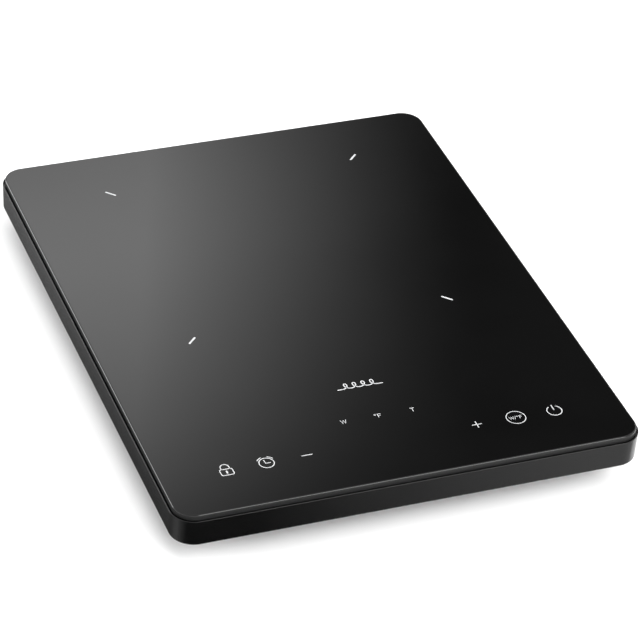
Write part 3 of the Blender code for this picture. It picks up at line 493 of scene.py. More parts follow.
def make_piece(name, mesh, material, node=None, body="housing"):
    """A shown piece with its finish, riding on a body; the working part that it takes the place of
    is hidden.
    """
    piece = bpy.data.objects.new(name, mesh)
    piece.data.materials.append(material)
    bpy.context.scene.collection.objects.link(piece)
    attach(piece, body)
    if node:
        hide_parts(node)
    return piece


def centre_of(node):
    low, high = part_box(node)
    return (low + high) / 2


print("shell tools ready")

# %% [markdown]
# ## The glass
#
# The top is one plate of black glass-ceramic, 4 mm thick. Its upper arris is ground round and
# polished, and the thin bright line round the top is that arris catching the lights. The side below
# it is only ground, so it is satin and darker. A bevel modifier could round the edge, but a stack
# of rings puts the arc exactly where it is wanted, says which band takes which finish, and leaves
# the big flat face's shading flat thanks to one extra ring just inside the arc.

# %% Black glass finish
GLASS_BLACK = 0.0030

glass_finish = Finish("black_glass")
cloth_marks = glass_finish.cloud(40 * MM, 3, (1, 0.25, 1))
dust = glass_finish.spread(glass_finish.cells(1.6 * MM), 0.0, 0.12, 1.0, 0.0)
tint = glass_finish.spread(glass_finish.cloud(90 * MM), 0.35, 0.65)
black_glass = glass_finish.shade(
    base_color=glass_finish.mix(tint, (GLASS_BLACK,) * 3, (GLASS_BLACK * 1.3,) * 3),
    roughness=glass_finish.spread(cloth_marks, 0.35, 0.7, 0.02, 0.055) + dust * 0.02,
    ior=1.52,
)

ground_finish = Finish("ground_edge")
wheel_lines = ground_finish.cloud(0.25 * MM, 3, (1, 1, 6))
ground_glass = ground_finish.shade(
    base_color=ground_finish.mix(wheel_lines, (0.010,) * 3, (0.018,) * 3),
    roughness=ground_finish.spread(wheel_lines, 0.3, 0.7, 0.38, 0.5),
    specular_ior_level=0.3,
    normal=ground_finish.relief(wheel_lines, 0.004 * MM),
)
print("glass is", GLASS_BLACK, "bright by itself")

# %% Glass plate
GLASS_CORNER = 13 * MM
GLASS_TOP_EDGE = 0.8 * MM
GLASS_UNDER_EDGE = 0.4 * MM
GLASS_MARGIN = 0.3 * MM  # from an arc to the extra ring inside it
EDGE_STEPS = 7


def round_over(inset, height, radius, start, end, steps=EDGE_STEPS):
    """(inset, height) points of an arc; angle 0 faces outwards and 90 degrees faces up."""
    found = []
    for step in range(steps + 1):
        angle = radians(start + (end - start) * step / steps)
        found.append((inset + radius * (1 - cos(angle)), height + radius * sin(angle)))
    return found


def rings_from(bm, half, corner, profile):
    """Rounded rectangles drawn in from a half size by each of the profile's insets."""
    return [
        rounded_ring(bm, half.x - inset, half.y - inset, corner - inset, height)
        for inset, height in profile
    ]


low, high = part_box("glass_plate")
glass_half = (high - low) / 2
plate_profile = [
    (1.2 * GLASS_UNDER_EDGE + GLASS_MARGIN, low.z),
    *round_over(0, low.z + GLASS_UNDER_EDGE, GLASS_UNDER_EDGE, -90, 0, 4),
    *round_over(0, high.z - GLASS_TOP_EDGE, GLASS_TOP_EDGE, 0, 90),
    (GLASS_TOP_EDGE + GLASS_MARGIN, high.z),
]
plate = bmesh.new()
plate_rings = rings_from(plate, glass_half, GLASS_CORNER, plate_profile)
skin(plate, plate_rings)
plate.faces.new(reversed(plate_rings[0]))
plate.faces.new(plate_rings[-1])
side_low, side_high = low.z + 0.1 * MM, high.z - GLASS_TOP_EDGE
for face in plate.faces:
    on_side = side_low < face.calc_center_median().z < side_high
    face.material_index = 1 if on_side else 0
plate_mesh = mesh_of(plate, "glass_top")
glass_top = make_piece("glass_top", plate_mesh, black_glass, "glass_plate")
glass_top.data.materials.append(ground_glass)
print("glass", round(2 * glass_half.x / MM), "by", round(2 * glass_half.y / MM), "mm")

# %% [markdown]
# ## Printing on the glass
#
# The key marks are white enamel, screen-printed and fired: a few hundredths of a millimetre thick,
# slightly porous, and all drawn with a thin line. So each mark is a set of strokes, and one
# function makes a stroke: a flat strip along a path with rounded ends, standing just proud of the
# glass. Real geometry keeps the marks crisp at any distance, where a painted texture would blur.

# %% White enamel and strokes
LINE = 0.56 * MM
ENAMEL_THICK = 0.03 * MM
CAP_STEPS = 3
CAP_TIP = 0.05  # the narrowest width of a cap, as a share of the line's
SHARPEST_BEND = 0.5  # the cosine that keeps a mitre from shooting out at a sharp corner

enamel_finish = Finish("white_enamel")
pores = enamel_finish.spread(enamel_finish.cells(0.22 * MM), 0.0, 0.35)
cover = enamel_finish.spread(enamel_finish.cloud(2 * MM), 0.3, 0.7)
white_enamel = enamel_finish.shade(
    base_color=enamel_finish.mix(pores * cover, (0.42, 0.43, 0.44), (0.56, 0.56, 0.56)),
    roughness=enamel_finish.spread(cover, 0, 1, 0.45, 0.6),
    normal=enamel_finish.relief(pores, 0.01 * MM),
)


def capped(path, half):
    """(point, half width) along a stroke whose ends are rounded off."""
    first = (path[0] - path[1]).normalized()
    last = (path[-1] - path[-2]).normalized()
    steps = [pi / 2 * step / CAP_STEPS for step in range(CAP_STEPS)]

    def cap(tip, outwards):
        return [
            (tip + outwards * half * cos(angle), half * max(sin(angle), CAP_TIP))
            for angle in steps
        ]

    start, end = cap(path[0], first), cap(path[-1], last)
    return [*start, *[(point, half) for point in path], *reversed(end)]


def stroke(bm, path, width=LINE, closed=False):
    """A thin strip of enamel along a path of flat points."""
    path = [Vector(point) for point in path]
    line = [(point, width / 2) for point in path] if closed else capped(path, width / 2)
    points = [point for point, half in line]
    rows = []
    for here, (point, half) in enumerate(line):
        before = points[here - 1] if closed or here else points[0]
        after = points[(here + 1) % len(points)] if closed or here + 1 < len(points) else points[-1]
        arriving = (point - before).normalized()
        leaving = (after - point).normalized()
        along = (arriving + leaving).normalized()
        aside = Vector((-along.y, along.x))
        bend = max(along.dot(leaving if leaving.length else arriving), SHARPEST_BEND)
        reach = aside * half / bend
        flat = [point + reach, point - reach]
        heights = (glass_height, glass_height + ENAMEL_THICK)
        rows.append([bm.verts.new((*spot, z)) for z in heights for spot in flat])
    order = (0, 1, 3, 2)
    pairs = list(zip(rows, rows[1:]))
    if closed:
        pairs.append((rows[-1], rows[0]))
    for near, far in pairs:
        for side in range(4):
            a, b = order[side], order[(side + 1) % 4]
            bm.faces.new((near[a], near[b], far[b], far[a]))
    if not closed:
        bm.faces.new([rows[0][side] for side in order])
        bm.faces.new([rows[-1][side] for side in reversed(order)])


def arc(middle, radius, start, end, steps=24):
    """Points round a circle between two angles in degrees, anticlockwise from +X."""
    found = []
    for step in range(steps + 1):
        angle = radians(start + (end - start) * step / steps)
        found.append((middle[0] + radius * cos(angle), middle[1] + radius * sin(angle)))
    return found


def full_circle(middle, radius, steps=36):
    return arc(middle, radius, 0, 360 * (1 - 1 / steps), steps - 1)


def print_mark(name, at, draw):
    """A mark drawn about its own middle by a function that adds strokes to a bmesh."""
    bm = bmesh.new()
    draw(bm)
    bmesh.ops.translate(bm, vec=(*at, 0), verts=bm.verts)
    return make_piece(name, mesh_of(bm, name), white_enamel)


print("a stroke is", round(LINE / MM, 2), "mm wide")

# %% [markdown]
# ## Key marks
#
# Six touch keys stand in a row along the front edge: lock, timer, less, more, a key that changes
# between watts and degrees, and on/off. Each sits straight above its spring in the working model,
# so its place comes from there. Behind the row are three small unit letters that say what the
# display shows.

# %% Key marks


def rounded_box(half_x, low, high, corner, steps=4):
    """Points round a flat box with rounded corners."""
    points = []
    middles = [(half_x, high), (-half_x, high), (-half_x, low), (half_x, low)]
    for quarter, (x, y) in enumerate(middles):
        middle = (x - corner if x > 0 else x + corner, y - corner if y == high else y + corner)
        points += arc(middle, corner, 90 * quarter, 90 * quarter + 90, steps)
    return points


def draw_lock(bm):
    half, low, high = 3.7 * MM, -4.8 * MM, 0.5 * MM
    shackle = 2.5 * MM
    top = high + 1.7 * MM
    stroke(bm, rounded_box(half, low, high, 0.9 * MM), closed=True)
    stroke(bm, [(shackle, high), *arc((0, top), shackle, 0, 180, 14), (-shackle, high)])
    stroke(bm, [(0, -3.1 * MM), (0, -1.3 * MM)], 1.0 * MM)


def draw_timer(bm):
    radius = 4.35 * MM
    middle = (0, -0.45 * MM)
    thin = 0.55 * MM
    stroke(bm, full_circle(middle, radius), closed=True)
    stroke(bm, [(-0.9 * MM, 2.2 * MM), (-0.6 * MM, -0.7 * MM), (2.2 * MM, -0.7 * MM)], thin)
    for side in (52, 128):
        stroke(bm, arc(middle, radius + 1.2 * MM, side - 17, side + 17, 8), thin)


def draw_minus(bm):
    stroke(bm, [(-3 * MM, 0), (3 * MM, 0)], 0.62 * MM)


def draw_plus(bm):
    reach = 2.8 * MM
    stroke(bm, [(-reach, 0), (reach, 0)])
    stroke(bm, [(0, -reach), (0, -LINE / 2)])
    stroke(bm, [(0, reach), (0, LINE / 2)])


def draw_power(bm):
    radius = 4.4 * MM
    stroke(bm, arc((0, 0), radius, 122, 418, 32))
    stroke(bm, [(0, 0.8 * MM), (0, 5.1 * MM)])


def letter(bm, shapes, at, tall, width):
    """A letter whose strokes are given in a box one high, standing on y = -0.5."""
    for shape in shapes:
        stroke(bm, [(at[0] + x * tall, at[1] + y * tall) for x, y in shape], width)


LETTER_W = [[(-0.55, 0.5), (-0.28, -0.5), (0, 0.4), (0.28, -0.5), (0.55, 0.5)]]
LETTER_F = [[(-0.25, -0.5), (-0.25, 0.5), (0.35, 0.5)], [(-0.1, 0.02), (0.26, 0.02)]]
LETTER_T = [[(-0.4, 0.5), (0.4, 0.5)], [(0, 0.38), (0, -0.5)]]
SLASH = [[(-0.2, -0.55), (0.2, 0.55)]]


def draw_mode(bm):
    tall = 2.4 * MM
    thin = 0.32 * MM
    stroke(bm, full_circle((0, 0), 5.7 * MM, 48), 0.48 * MM, closed=True)
    letter(bm, LETTER_W, (-2.7 * MM, 0), tall, thin)
    letter(bm, SLASH, (-0.5 * MM, 0), tall, thin)
    stroke(bm, full_circle((0.9 * MM, 0.37 * tall), 0.38 * MM, 12), 0.24 * MM, closed=True)
    letter(bm, LETTER_F, (2.8 * MM, 0), tall, thin)


KEY_MARKS = {
    "lock": draw_lock,
    "timer": draw_timer,
    "minus": draw_minus,
    "plus": draw_plus,
    "mode": draw_mode,
    "power": draw_power,
}
for key, draw_key in KEY_MARKS.items():
    print_mark("mark_" + key, centre_of("touch_spring_" + key).xy, draw_key)
print("printed", len(KEY_MARKS), "keys")

# %% Unit letters
LETTERS_Y = -122.3 * MM
LETTER_TALL = 3.0 * MM
LETTER_LINE = 0.4 * MM


def draw_watts(bm):
    letter(bm, LETTER_W, (0, 0), LETTER_TALL, LETTER_LINE)


def draw_degrees(bm):
    stroke(bm, full_circle((-1.5 * MM, 0.38 * LETTER_TALL), 0.5 * MM, 12), 0.35 * MM, closed=True)
    letter(bm, LETTER_F, (0.8 * MM, 0), LETTER_TALL, LETTER_LINE)


def draw_time(bm):
    letter(bm, LETTER_T, (0, 0), LETTER_TALL, LETTER_LINE)


UNIT_MARKS = {
    "mark_watts": (-22.3 * MM, draw_watts),
    "mark_degrees": (-1.3 * MM, draw_degrees),
    "mark_time": (20 * MM, draw_time),
}
for name, (x, draw_unit) in UNIT_MARKS.items():
    print_mark(name, (x, LETTERS_Y), draw_unit)
print(len(UNIT_MARKS), "unit marks,", LETTER_TALL / MM, "mm tall")

# %% [markdown]
# ## Zone marks
#
# Four short bars on the diagonals show where a pan belongs, and between the zone and the keys is
# the usual sign for induction: a wire wound in a row of loops. The loops are a trochoid, the path
# of a point on a wheel's spoke that reaches past its rim, so three numbers draw the whole sign.

# %% Zone ticks and loops
zone = centre_of("coil_former")
TICK_FROM = 111 * MM
TICK_TO = 117.5 * MM
TICK_WIDE = 1.2 * MM
LOOPS = 4
LOOP_PITCH = 5.4 * MM
LOOP_TALL = 2.4 * MM
LOOP_WIDE = 2.1 * MM
LOOP_TAIL = 3 * MM
SIGN_AT = (-1.2 * MM, -91 * MM)


def draw_loops(bm):
    steps = 24
    path = []
    for step in range(LOOPS * steps + 1):
        angle = 2 * pi * step / steps
        x = LOOP_PITCH * (step / steps - LOOPS / 2) + LOOP_WIDE * sin(angle)
        path.append((x, -LOOP_TALL * cos(angle)))
    start = (path[0][0] - LOOP_TAIL, -LOOP_TALL)
    end = (path[-1][0] + LOOP_TAIL, -LOOP_TALL)
    stroke(bm, [start, *path, end], 0.7 * MM)


def tick_towards(angle):
    """A function that draws one tick, at an angle round the zone's middle."""
    way = Vector((cos(angle), sin(angle)))
    return lambda bm: stroke(bm, [way * TICK_FROM, way * TICK_TO], TICK_WIDE)


print_mark("mark_loops", SIGN_AT, draw_loops)
for number in range(4):
    print_mark(f"zone_tick_{number + 1}", zone.xy, tick_towards(radians(45 + 90 * number)))
print("zone middle", [round(value / MM, 1) for value in zone.xy])

# %% [markdown]
# ## The frame
#
# The side wall is a glossy black moulding that carries the glass on an inner ledge and leaves a
# thin shadow line between the two. It leans in slightly, as a moulding must to leave its mould, and
# its lower edge is rounded. Its section is the same all the way round, so it is again a stack of
# rings, this time closed on itself. The bosses for the screws and the cord's entry are joined and
# cut with Booleans, as they are in the working model.

# %% Moulding finish


def moulded(name, dark, pale, grain, depth, roughness, spread=0.08):
    """Injection-moulded plastic: a fine spark-eroded grain and faint clouds of gloss."""
    finish = Finish(name)
    pits = finish.spread(finish.cells(grain), 0.1, 0.75)
    fine = finish.cloud(grain / 2, 3)
    least, most = roughness - spread / 2, roughness + spread / 2
    gloss = finish.spread(finish.cloud(22 * MM, 3), 0.3, 0.7, least, most)
    shade = finish.spread(finish.cloud(35 * MM, 2), 0.3, 0.7) * 0.6 + pits * 0.4
    return finish.shade(
        base_color=finish.mix(shade, dark, pale),
        roughness=gloss + fine * 0.06,
        normal=finish.relief(pits * 0.6 + fine * 0.4, depth),
    )


frame_plastic = moulded("frame_plastic", (0.0018,) * 3, (0.0028,) * 3, 0.4 * MM, 0.003 * MM, 0.19)
print("frame plastic mixed")

# %% Frame
WALL_DRAFT = 0.4 * MM
WALL_FILLET = 1.2 * MM
WALL_THICK = 2.5 * MM
FLAT_MARGIN = 0.3 * MM  # from an arc to the extra ring that keeps the wall's shading flat
LIP_WIDE = 0.5 * MM
LIP_ROUND = 0.22 * MM
SEAT_TOP = 36 * MM
SEAT_THICK = 2 * MM
SEAT_INNER = 10.5 * MM
PILOT_RADIUS = 1.5 * MM
PILOT_TOP = 32 * MM
BOSS_RADIUS = 3.6 * MM


def cylinder(bm, radius, length, steps, place):
    sizes = {"radius1": radius, "radius2": radius, "depth": length}
    bmesh.ops.create_cone(bm, cap_ends=True, segments=steps, matrix=place, **sizes)


def rod(bm, at, radius, low, high, steps=32):
    place = Matrix.Translation((at[0], at[1], (low + high) / 2))
    cylinder(bm, radius, high - low, steps, place)


def rod_along_y(bm, at, radius, start, end, steps=40):
    place = Matrix.Translation((at.x, (start + end) / 2, at.z)) @ Matrix.Rotation(pi / 2, 4, "X")
    cylinder(bm, radius, end - start, steps, place)


def block(bm, low, high):
    made = bmesh.ops.create_cube(bm, size=1)["verts"]
    bmesh.ops.scale(bm, vec=high - low, verts=made)
    bmesh.ops.translate(bm, vec=(low + high) / 2, verts=made)


def carve(mesh, operation, *fillers):
    """The mesh after Booleans with shapes that each filler adds to a bmesh of its own."""
    work = bpy.data.objects.new("work", mesh)
    bpy.context.scene.collection.objects.link(work)
    tools = []
    for number, fill in enumerate(fillers):
        bm = bmesh.new()
        fill(bm)
        tools.append(bpy.data.objects.new(f"tool_{number}", mesh_of(bm, f"tool_{number}")))
        bpy.context.scene.collection.objects.link(tools[-1])
        boolean = work.modifiers.new(f"boolean_{number}", "BOOLEAN")
        boolean.operation = operation
        boolean.solver = "EXACT"
        boolean.object = tools[-1]
    bpy.context.view_layer.update()
    graph = bpy.context.evaluated_depsgraph_get()
    carved = bpy.data.meshes.new_from_object(work.evaluated_get(graph))
    for used in (work, *tools):
        bpy.data.objects.remove(used)
    carved.shade_smooth()
    carved.set_sharp_from_angle(angle=radians(35))
    return carved


low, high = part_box("top_frame")
body_half = (high - low) / 2
seat_under = SEAT_TOP - SEAT_THICK
wall_low = low.z + WALL_FILLET
wall_high = high.z - LIP_ROUND
flat_low, flat_high = [WALL_DRAFT * share for share in (0.98, 0.02)]
wall_profile = [
    *round_over(WALL_DRAFT, wall_low, WALL_FILLET, -90, 0),
    (flat_low, wall_low + FLAT_MARGIN),
    (flat_high, wall_high - FLAT_MARGIN),
    (0, wall_high),
    *round_over(0, wall_high, LIP_ROUND, 15, 90, 4),
    (LIP_WIDE, high.z),
    (LIP_WIDE, SEAT_TOP),
    (SEAT_INNER, SEAT_TOP),
    (SEAT_INNER, seat_under),
    (WALL_THICK, seat_under),
    (WALL_THICK, low.z),
]
wall = bmesh.new()
skin(wall, rings_from(wall, body_half, BODY_CORNER, wall_profile), closed=True)
wall_mesh = mesh_of(wall, "frame_shell")

screw_places = [centre_of(f"housing_screw_{number}") for number in range(1, 5)]
flange_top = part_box("housing_screw_1")[0].z + 4 * MM
gland_middle = centre_of("cord_gland")
GLAND_BLOCK_WIDE = 16 * MM
GLAND_BLOCK_Y = 175 * MM
GLAND_SINK = 1.5 * MM
GLAND_NECK = 4.9 * MM
GLAND_FLANGE = 6.3 * MM


def boss_rods(bm):
    for at in screw_places:
        rod(bm, at, BOSS_RADIUS, flange_top, seat_under + 1 * MM)


def cord_block(bm):
    half = GLAND_BLOCK_WIDE / 2
    near = Vector((gland_middle.x - half, GLAND_BLOCK_Y, flange_top))
    far = Vector((gland_middle.x + half, high.y - 1 * MM, seat_under + 1 * MM))
    block(bm, near, far)


def pilots(bm):
    for at in screw_places:
        rod(bm, at, PILOT_RADIUS, low.z, PILOT_TOP, 20)


def cord_hole(bm):
    rod_along_y(bm, gland_middle, GLAND_NECK, GLAND_BLOCK_Y - 2 * MM, high.y + 2 * MM)


def cord_counterbore(bm):
    rod_along_y(bm, gland_middle, GLAND_FLANGE, high.y - GLAND_SINK, high.y + 2 * MM)


wall_mesh = carve(wall_mesh, "UNION", boss_rods, cord_block)
wall_mesh = carve(wall_mesh, "DIFFERENCE", pilots, cord_hole, cord_counterbore)
make_piece("frame_shell", wall_mesh, frame_plastic, "top_frame")
print("frame", round(2 * body_half.x / MM), "by", round(2 * body_half.y / MM), "mm")

# %% [markdown]
# ## Turned and swept pieces
#
# Feet, screws, the cord bush, springs, wires: each is either turned on an axis or swept along a
# path. A sweep needs to know which way is up at each point; carrying the last point's sideways
# direction on to the next, and only straightening it there, avoids the sudden twist that a fixed
# up direction gives on a path that climbs.

# %% Turning and sweeping


def turned(bm, profile, steps=48, closed=False):
    """A profile of (radius, height) points turned about Z. A radius of 0 closes an end."""
    rings = []
    for radius, height in profile:
        if radius:
            spots = [2 * pi * step / steps for step in range(steps)]
            rings.append([bm.verts.new((radius * cos(a), radius * sin(a), height)) for a in spots])
        else:
            rings.append([bm.verts.new((0, 0, height))])
    pairs = list(zip(rings, rings[1:]))
    if closed:
        pairs.append((rings[-1], rings[0]))
    for first, second in pairs:
        for here in range(steps):
            after = (here + 1) % steps
            corners = [
                first[here % len(first)],
                first[after % len(first)],
                second[after % len(second)],
                second[here % len(second)],
            ]
            bm.faces.new(list(dict.fromkeys(corners)))


def sweep(bm, path, section, twist=0.0):
    """A section of radii round a point, swept along a path and capped. Twist is per metre."""
    sides = len(section)
    aside = None
    travelled = 0.0
    rings = []
    for here, point in enumerate(path):
        before = path[max(here - 1, 0)]
        after = path[min(here + 1, len(path) - 1)]
        along = (after - before).normalized()
        aside = along.orthogonal() if aside is None else aside
        aside = (aside - along * aside.dot(along)).normalized()
        over = along.cross(aside)
        travelled += (point - path[max(here - 1, 0)]).length
        ring = []
        for side, radius in enumerate(section):
            angle = 2 * pi * side / sides + travelled * twist
            ring.append(bm.verts.new(point + (aside * cos(angle) + over * sin(angle)) * radius))
        rings.append(ring)
    skin(bm, rings)
    bm.faces.new(reversed(rings[0]))
    bm.faces.new(rings[-1])


print("turning tools ready")

# %% [markdown]
# ## Feet, cord bush and screws
#
# The feet are soft rubber, so they are dull and dusty, with a shallow dish and two grip rings
# moulded into the face that stands on the table. The screws are zinc-plated steel with a domed head
# and a cross recess. The recess is what tells the eye it is a screw, so it is really cut.

# %% Rubber and zinc finishes


def rubber_like(name, dark, pale, roughness):
    """Soft dull material with a fine open surface and a bloom of dust."""
    finish = Finish(name)
    skin_grain = finish.cloud(0.3 * MM, 4)
    bloom = finish.spread(finish.cloud(6 * MM, 4), 0.4, 0.65)
    return finish.shade(
        base_color=finish.mix(bloom, dark, pale),
        roughness=finish.spread(skin_grain, 0.3, 0.7, roughness - 0.08, roughness + 0.06),
        normal=finish.relief(skin_grain, 0.03 * MM),
    )


def plated(name, dark, pale, roughness, grain=0.5 * MM, stretch=(1, 1, 1)):
    """Bare or plated metal: its tone and gloss drift along the way it was worked."""
    finish = Finish(name)
    lines = finish.cloud(grain, 3, stretch)
    blotch = finish.spread(finish.cloud(8 * MM, 3), 0.35, 0.65)
    return finish.shade(
        base_color=finish.mix(finish.spread(lines, 0.3, 0.7) * 0.6 + blotch * 0.4, dark, pale),
        metallic=1.0,
        roughness=finish.spread(lines, 0.3, 0.7, roughness - 0.06, roughness + 0.08),
        normal=finish.relief(lines, 0.004 * MM),
    )


rubber = rubber_like("rubber", (0.014, 0.014, 0.015), (0.028, 0.027, 0.026), 0.8)
zinc = plated("screw_steel", (0.46, 0.47, 0.48), (0.66, 0.66, 0.64), 0.28)
print("rubber and zinc mixed")

# %% Feet
FOOT_EDGE = 0.8 * MM
FOOT_DISH = 0.5 * MM
GRIP_HALF = 0.5 * MM
GRIP_LOW = 0.1 * MM
BARB_NECK = 2.5 * MM
BARB_WIDE = 3.6 * MM


def soft_edge(middle, radius, start, end):
    """(radius, height) points of a rounded edge, for a turned profile."""
    return arc(middle, radius, start, end, 5)


def foot_profile(radius, tip):
    """From the barb's tip down to the dished face that stands on the table."""
    pad_top = 6.7 * MM
    shoulder = 9.3 * MM
    grip = []
    for ring in (0.45, 0.65):
        middle = radius * ring
        inner, outer = middle - GRIP_HALF, middle + GRIP_HALF
        grip += [(outer, FOOT_DISH), (middle, GRIP_LOW), (inner, FOOT_DISH)]
    return [
        (0, tip),
        (1.2 * MM, tip),
        (BARB_WIDE, shoulder + 0.6 * MM),
        (BARB_WIDE, shoulder),
        (BARB_NECK, shoulder),
        (BARB_NECK, pad_top),
        *soft_edge((radius - 1 * MM, pad_top - 1 * MM), 1 * MM, 90, 0),
        *soft_edge((radius - FOOT_EDGE, FOOT_EDGE), FOOT_EDGE, 0, -90),
        (radius - 1.8 * MM, 0),
        (radius - 2.4 * MM, FOOT_DISH),
        *sorted(grip, reverse=True),
        (0, FOOT_DISH),
    ]


for place in ("front_left", "front_right", "rear_left", "rear_right"):
    node = "foot_" + place
    low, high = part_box(node)
    foot = bmesh.new()
    turned(foot, foot_profile((high.x - low.x) / 2, high.z))
    bmesh.ops.translate(foot, vec=(*centre_of(node).xy, 0), verts=foot.verts)
    make_piece("rubber_" + node, mesh_of(foot, node), rubber, node)
print("four feet")

# %% Screws
HEAD_RADIUS = 3 * MM
HEAD_TALL = 1.5 * MM
HEAD_EDGE = 0.9 * MM
TIP_LONG = 1.5 * MM
TIP_RADIUS = 0.5 * MM
RECESS_LONG = 2.9 * MM
RECESS_WIDE = 0.75 * MM
RECESS_DEEP = 0.8 * MM
THREAD_PITCH = 1.2 * MM
THREAD_CORE = 0.95 * MM
THREAD_CREST = 1.25 * MM


def screw_mesh(name, length):
    """A screw with its head's top at z = 0, pointing down."""
    profile = [(0, 0), *soft_edge((HEAD_RADIUS - HEAD_EDGE, -HEAD_EDGE), HEAD_EDGE, 90, 0)]
    profile += [(HEAD_RADIUS, -HEAD_TALL), (THREAD_CREST, -HEAD_TALL)]
    turns = int((length - HEAD_TALL - TIP_LONG) / THREAD_PITCH)
    for turn in range(turns):
        top = -HEAD_TALL - turn * THREAD_PITCH
        profile += [(THREAD_CORE, top - 0.5 * THREAD_PITCH), (THREAD_CREST, top - THREAD_PITCH)]
    profile += [(TIP_RADIUS, -length), (0, -length)]
    bm = bmesh.new()
    turned(bm, profile, 32)

    def bar(wide, tall):
        near = Vector((-wide / 2, -tall / 2, -RECESS_DEEP))
        far = Vector((wide / 2, tall / 2, 1 * MM))
        return lambda bm: block(bm, near, far)

    bars = bar(RECESS_LONG, RECESS_WIDE), bar(RECESS_WIDE, RECESS_LONG)
    return carve(mesh_of(bm, name), "DIFFERENCE", *bars)


SCREWS = [f"housing_screw_{n}" for n in range(1, 5)] + [f"coil_screw_{n}" for n in range(1, 4)]
for number, node in enumerate(SCREWS):
    low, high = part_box(node)
    upward = node.startswith("housing")
    mesh = screw_mesh("plated_" + node, high.z - low.z)
    if upward:
        mesh.transform(Matrix.Rotation(pi, 4, "X"))
    driven_to = radians(17 + 31 * number)
    mesh.transform(Matrix.Rotation(driven_to, 4, "Z"))
    mesh.transform(Matrix.Translation((*centre_of(node).xy, low.z if upward else high.z)))
    make_piece("plated_" + node, mesh, zinc, node)
print(len(SCREWS), "screws")

# %% Cord bush
BUSH_BORE = 3.4 * MM
BUSH_FLANGE = 6 * MM
BUSH_NECK = 4.6 * MM
BUSH_LOCK = 5.1 * MM
BUSH_MOUTH = 0.8 * MM
BUSH_EDGE = 0.4 * MM

low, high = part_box("cord_gland")
lock_face = GLAND_BLOCK_Y - 0.3 * MM
seat_y = high.y - 1 * MM
bush_profile = [
    *soft_edge((BUSH_BORE + BUSH_MOUTH, high.y - BUSH_MOUTH), BUSH_MOUTH, 180, 90),
    *soft_edge((BUSH_FLANGE - BUSH_EDGE, high.y - BUSH_EDGE), BUSH_EDGE, 90, 0),
    (BUSH_FLANGE, seat_y),
    (BUSH_NECK, seat_y),
    (BUSH_NECK, lock_face),
    (BUSH_LOCK, lock_face),
    (BUSH_NECK, low.y),
    (BUSH_BORE, low.y),
]
bush = bmesh.new()
turned(bush, bush_profile, 64, closed=True)
axis_at = Matrix.Translation((gland_middle.x, 0, gland_middle.z))
lay_down = axis_at @ Matrix.Rotation(-pi / 2, 4, "X")
bmesh.ops.transform(bush, matrix=lay_down, verts=bush.verts)
make_piece("cord_bush", mesh_of(bush, "cord_bush"), rubber, "cord_gland")
print("bush for a cord of", round(2 * BUSH_BORE / MM, 1), "mm")

# %% [markdown]
# ## The heating coil
#
# An induction coil is wound from litz wire: dozens of enamelled strands twisted into a rope, flat
# in one layer, fourteen turns from the middle outwards. Twisting the section of a sweep gives the
# strands as real ridges that climb round the rope, which no bump map does as well at the edges. The
# ridges follow the mesh's own edges, so they stay smooth with few vertices.

# %% Coil
COIL_TURNS = 14.06
COIL_START_ANGLE = radians(270)
COIL_START = 26.5 * MM
COIL_PITCH = 4.5 * MM
COIL_STEP = 3.2 * MM
STRANDS = 8
ONE_STRAND = (0.86, 0.985, 0.985)  # a groove, then the strand's crest, in rope radii
ROPE_LAY = 26 * MM

copper = plated("copper_wire", (0.44, 0.15, 0.05), (0.70, 0.30, 0.12), 0.32, 1.5 * MM)
low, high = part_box("coil_winding")
rope_radius = (high.z - low.z) / 2
rope_height = low.z + rope_radius
rope_path = []
turned_by = 0.0
while turned_by < COIL_TURNS:
    radius = COIL_START + COIL_PITCH * turned_by
    angle = COIL_START_ANGLE + 2 * pi * turned_by
    x, y = zone.x + radius * cos(angle), zone.y + radius * sin(angle)
    rope_path.append(Vector((x, y, rope_height)))
    turned_by += COIL_STEP / (2 * pi * radius)
rope_section = [rope_radius * share for share in ONE_STRAND * STRANDS]
rope = bmesh.new()
sweep(rope, rope_path, rope_section, 2 * pi / ROPE_LAY)
rope_mesh = mesh_of(rope, "litz_winding", radians(70))
make_piece("litz_winding", rope_mesh, copper, "coil_winding")
print("wire", round(len(rope_path) * COIL_STEP, 2), "m long")

# %% [markdown]
# ## The fan
#
# The fan's blades are thin, curved and steeper near the hub, because the root moves more slowly
# than the tip. Each is a grid of points: along the radius the pitch eases off, and across the blade
# a shallow arc gives it its camber. The same grid, a little lower, makes the other face.

# %% Fan rotor
HUB_OUTER = 15 * MM
HUB_INNER = 13.5 * MM
HUB_TOP = 23 * MM
HUB_UNDER = 12 * MM
RING_FROM = 6 * MM  # a shallow ring moulded into the hub's top
RING_TO = 12 * MM
RING_DEEP = 0.4 * MM
BLADES = 7
BLADE_TIP = 35.5 * MM
BLADE_ROWS = 8
BLADE_COLUMNS = 8
ROOT_PITCH = radians(44)
TIP_PITCH = radians(27)
BLADE_CHORD = 15.5 * MM
CAMBER = 1.3 * MM
SWEEP_BACK = 0.12  # radians that the tip trails the root by
BLADE_THICK = 1.3 * MM
BLADE_HEIGHT = HUB_UNDER + 5.3 * MM
EDGE_BLUNT = 0.03

fan_plastic = moulded("fan_plastic", (0.012,) * 3, (0.02,) * 3, 0.6 * MM, 0.008 * MM, 0.3)
fan_middle = centre_of("fan_shaft")


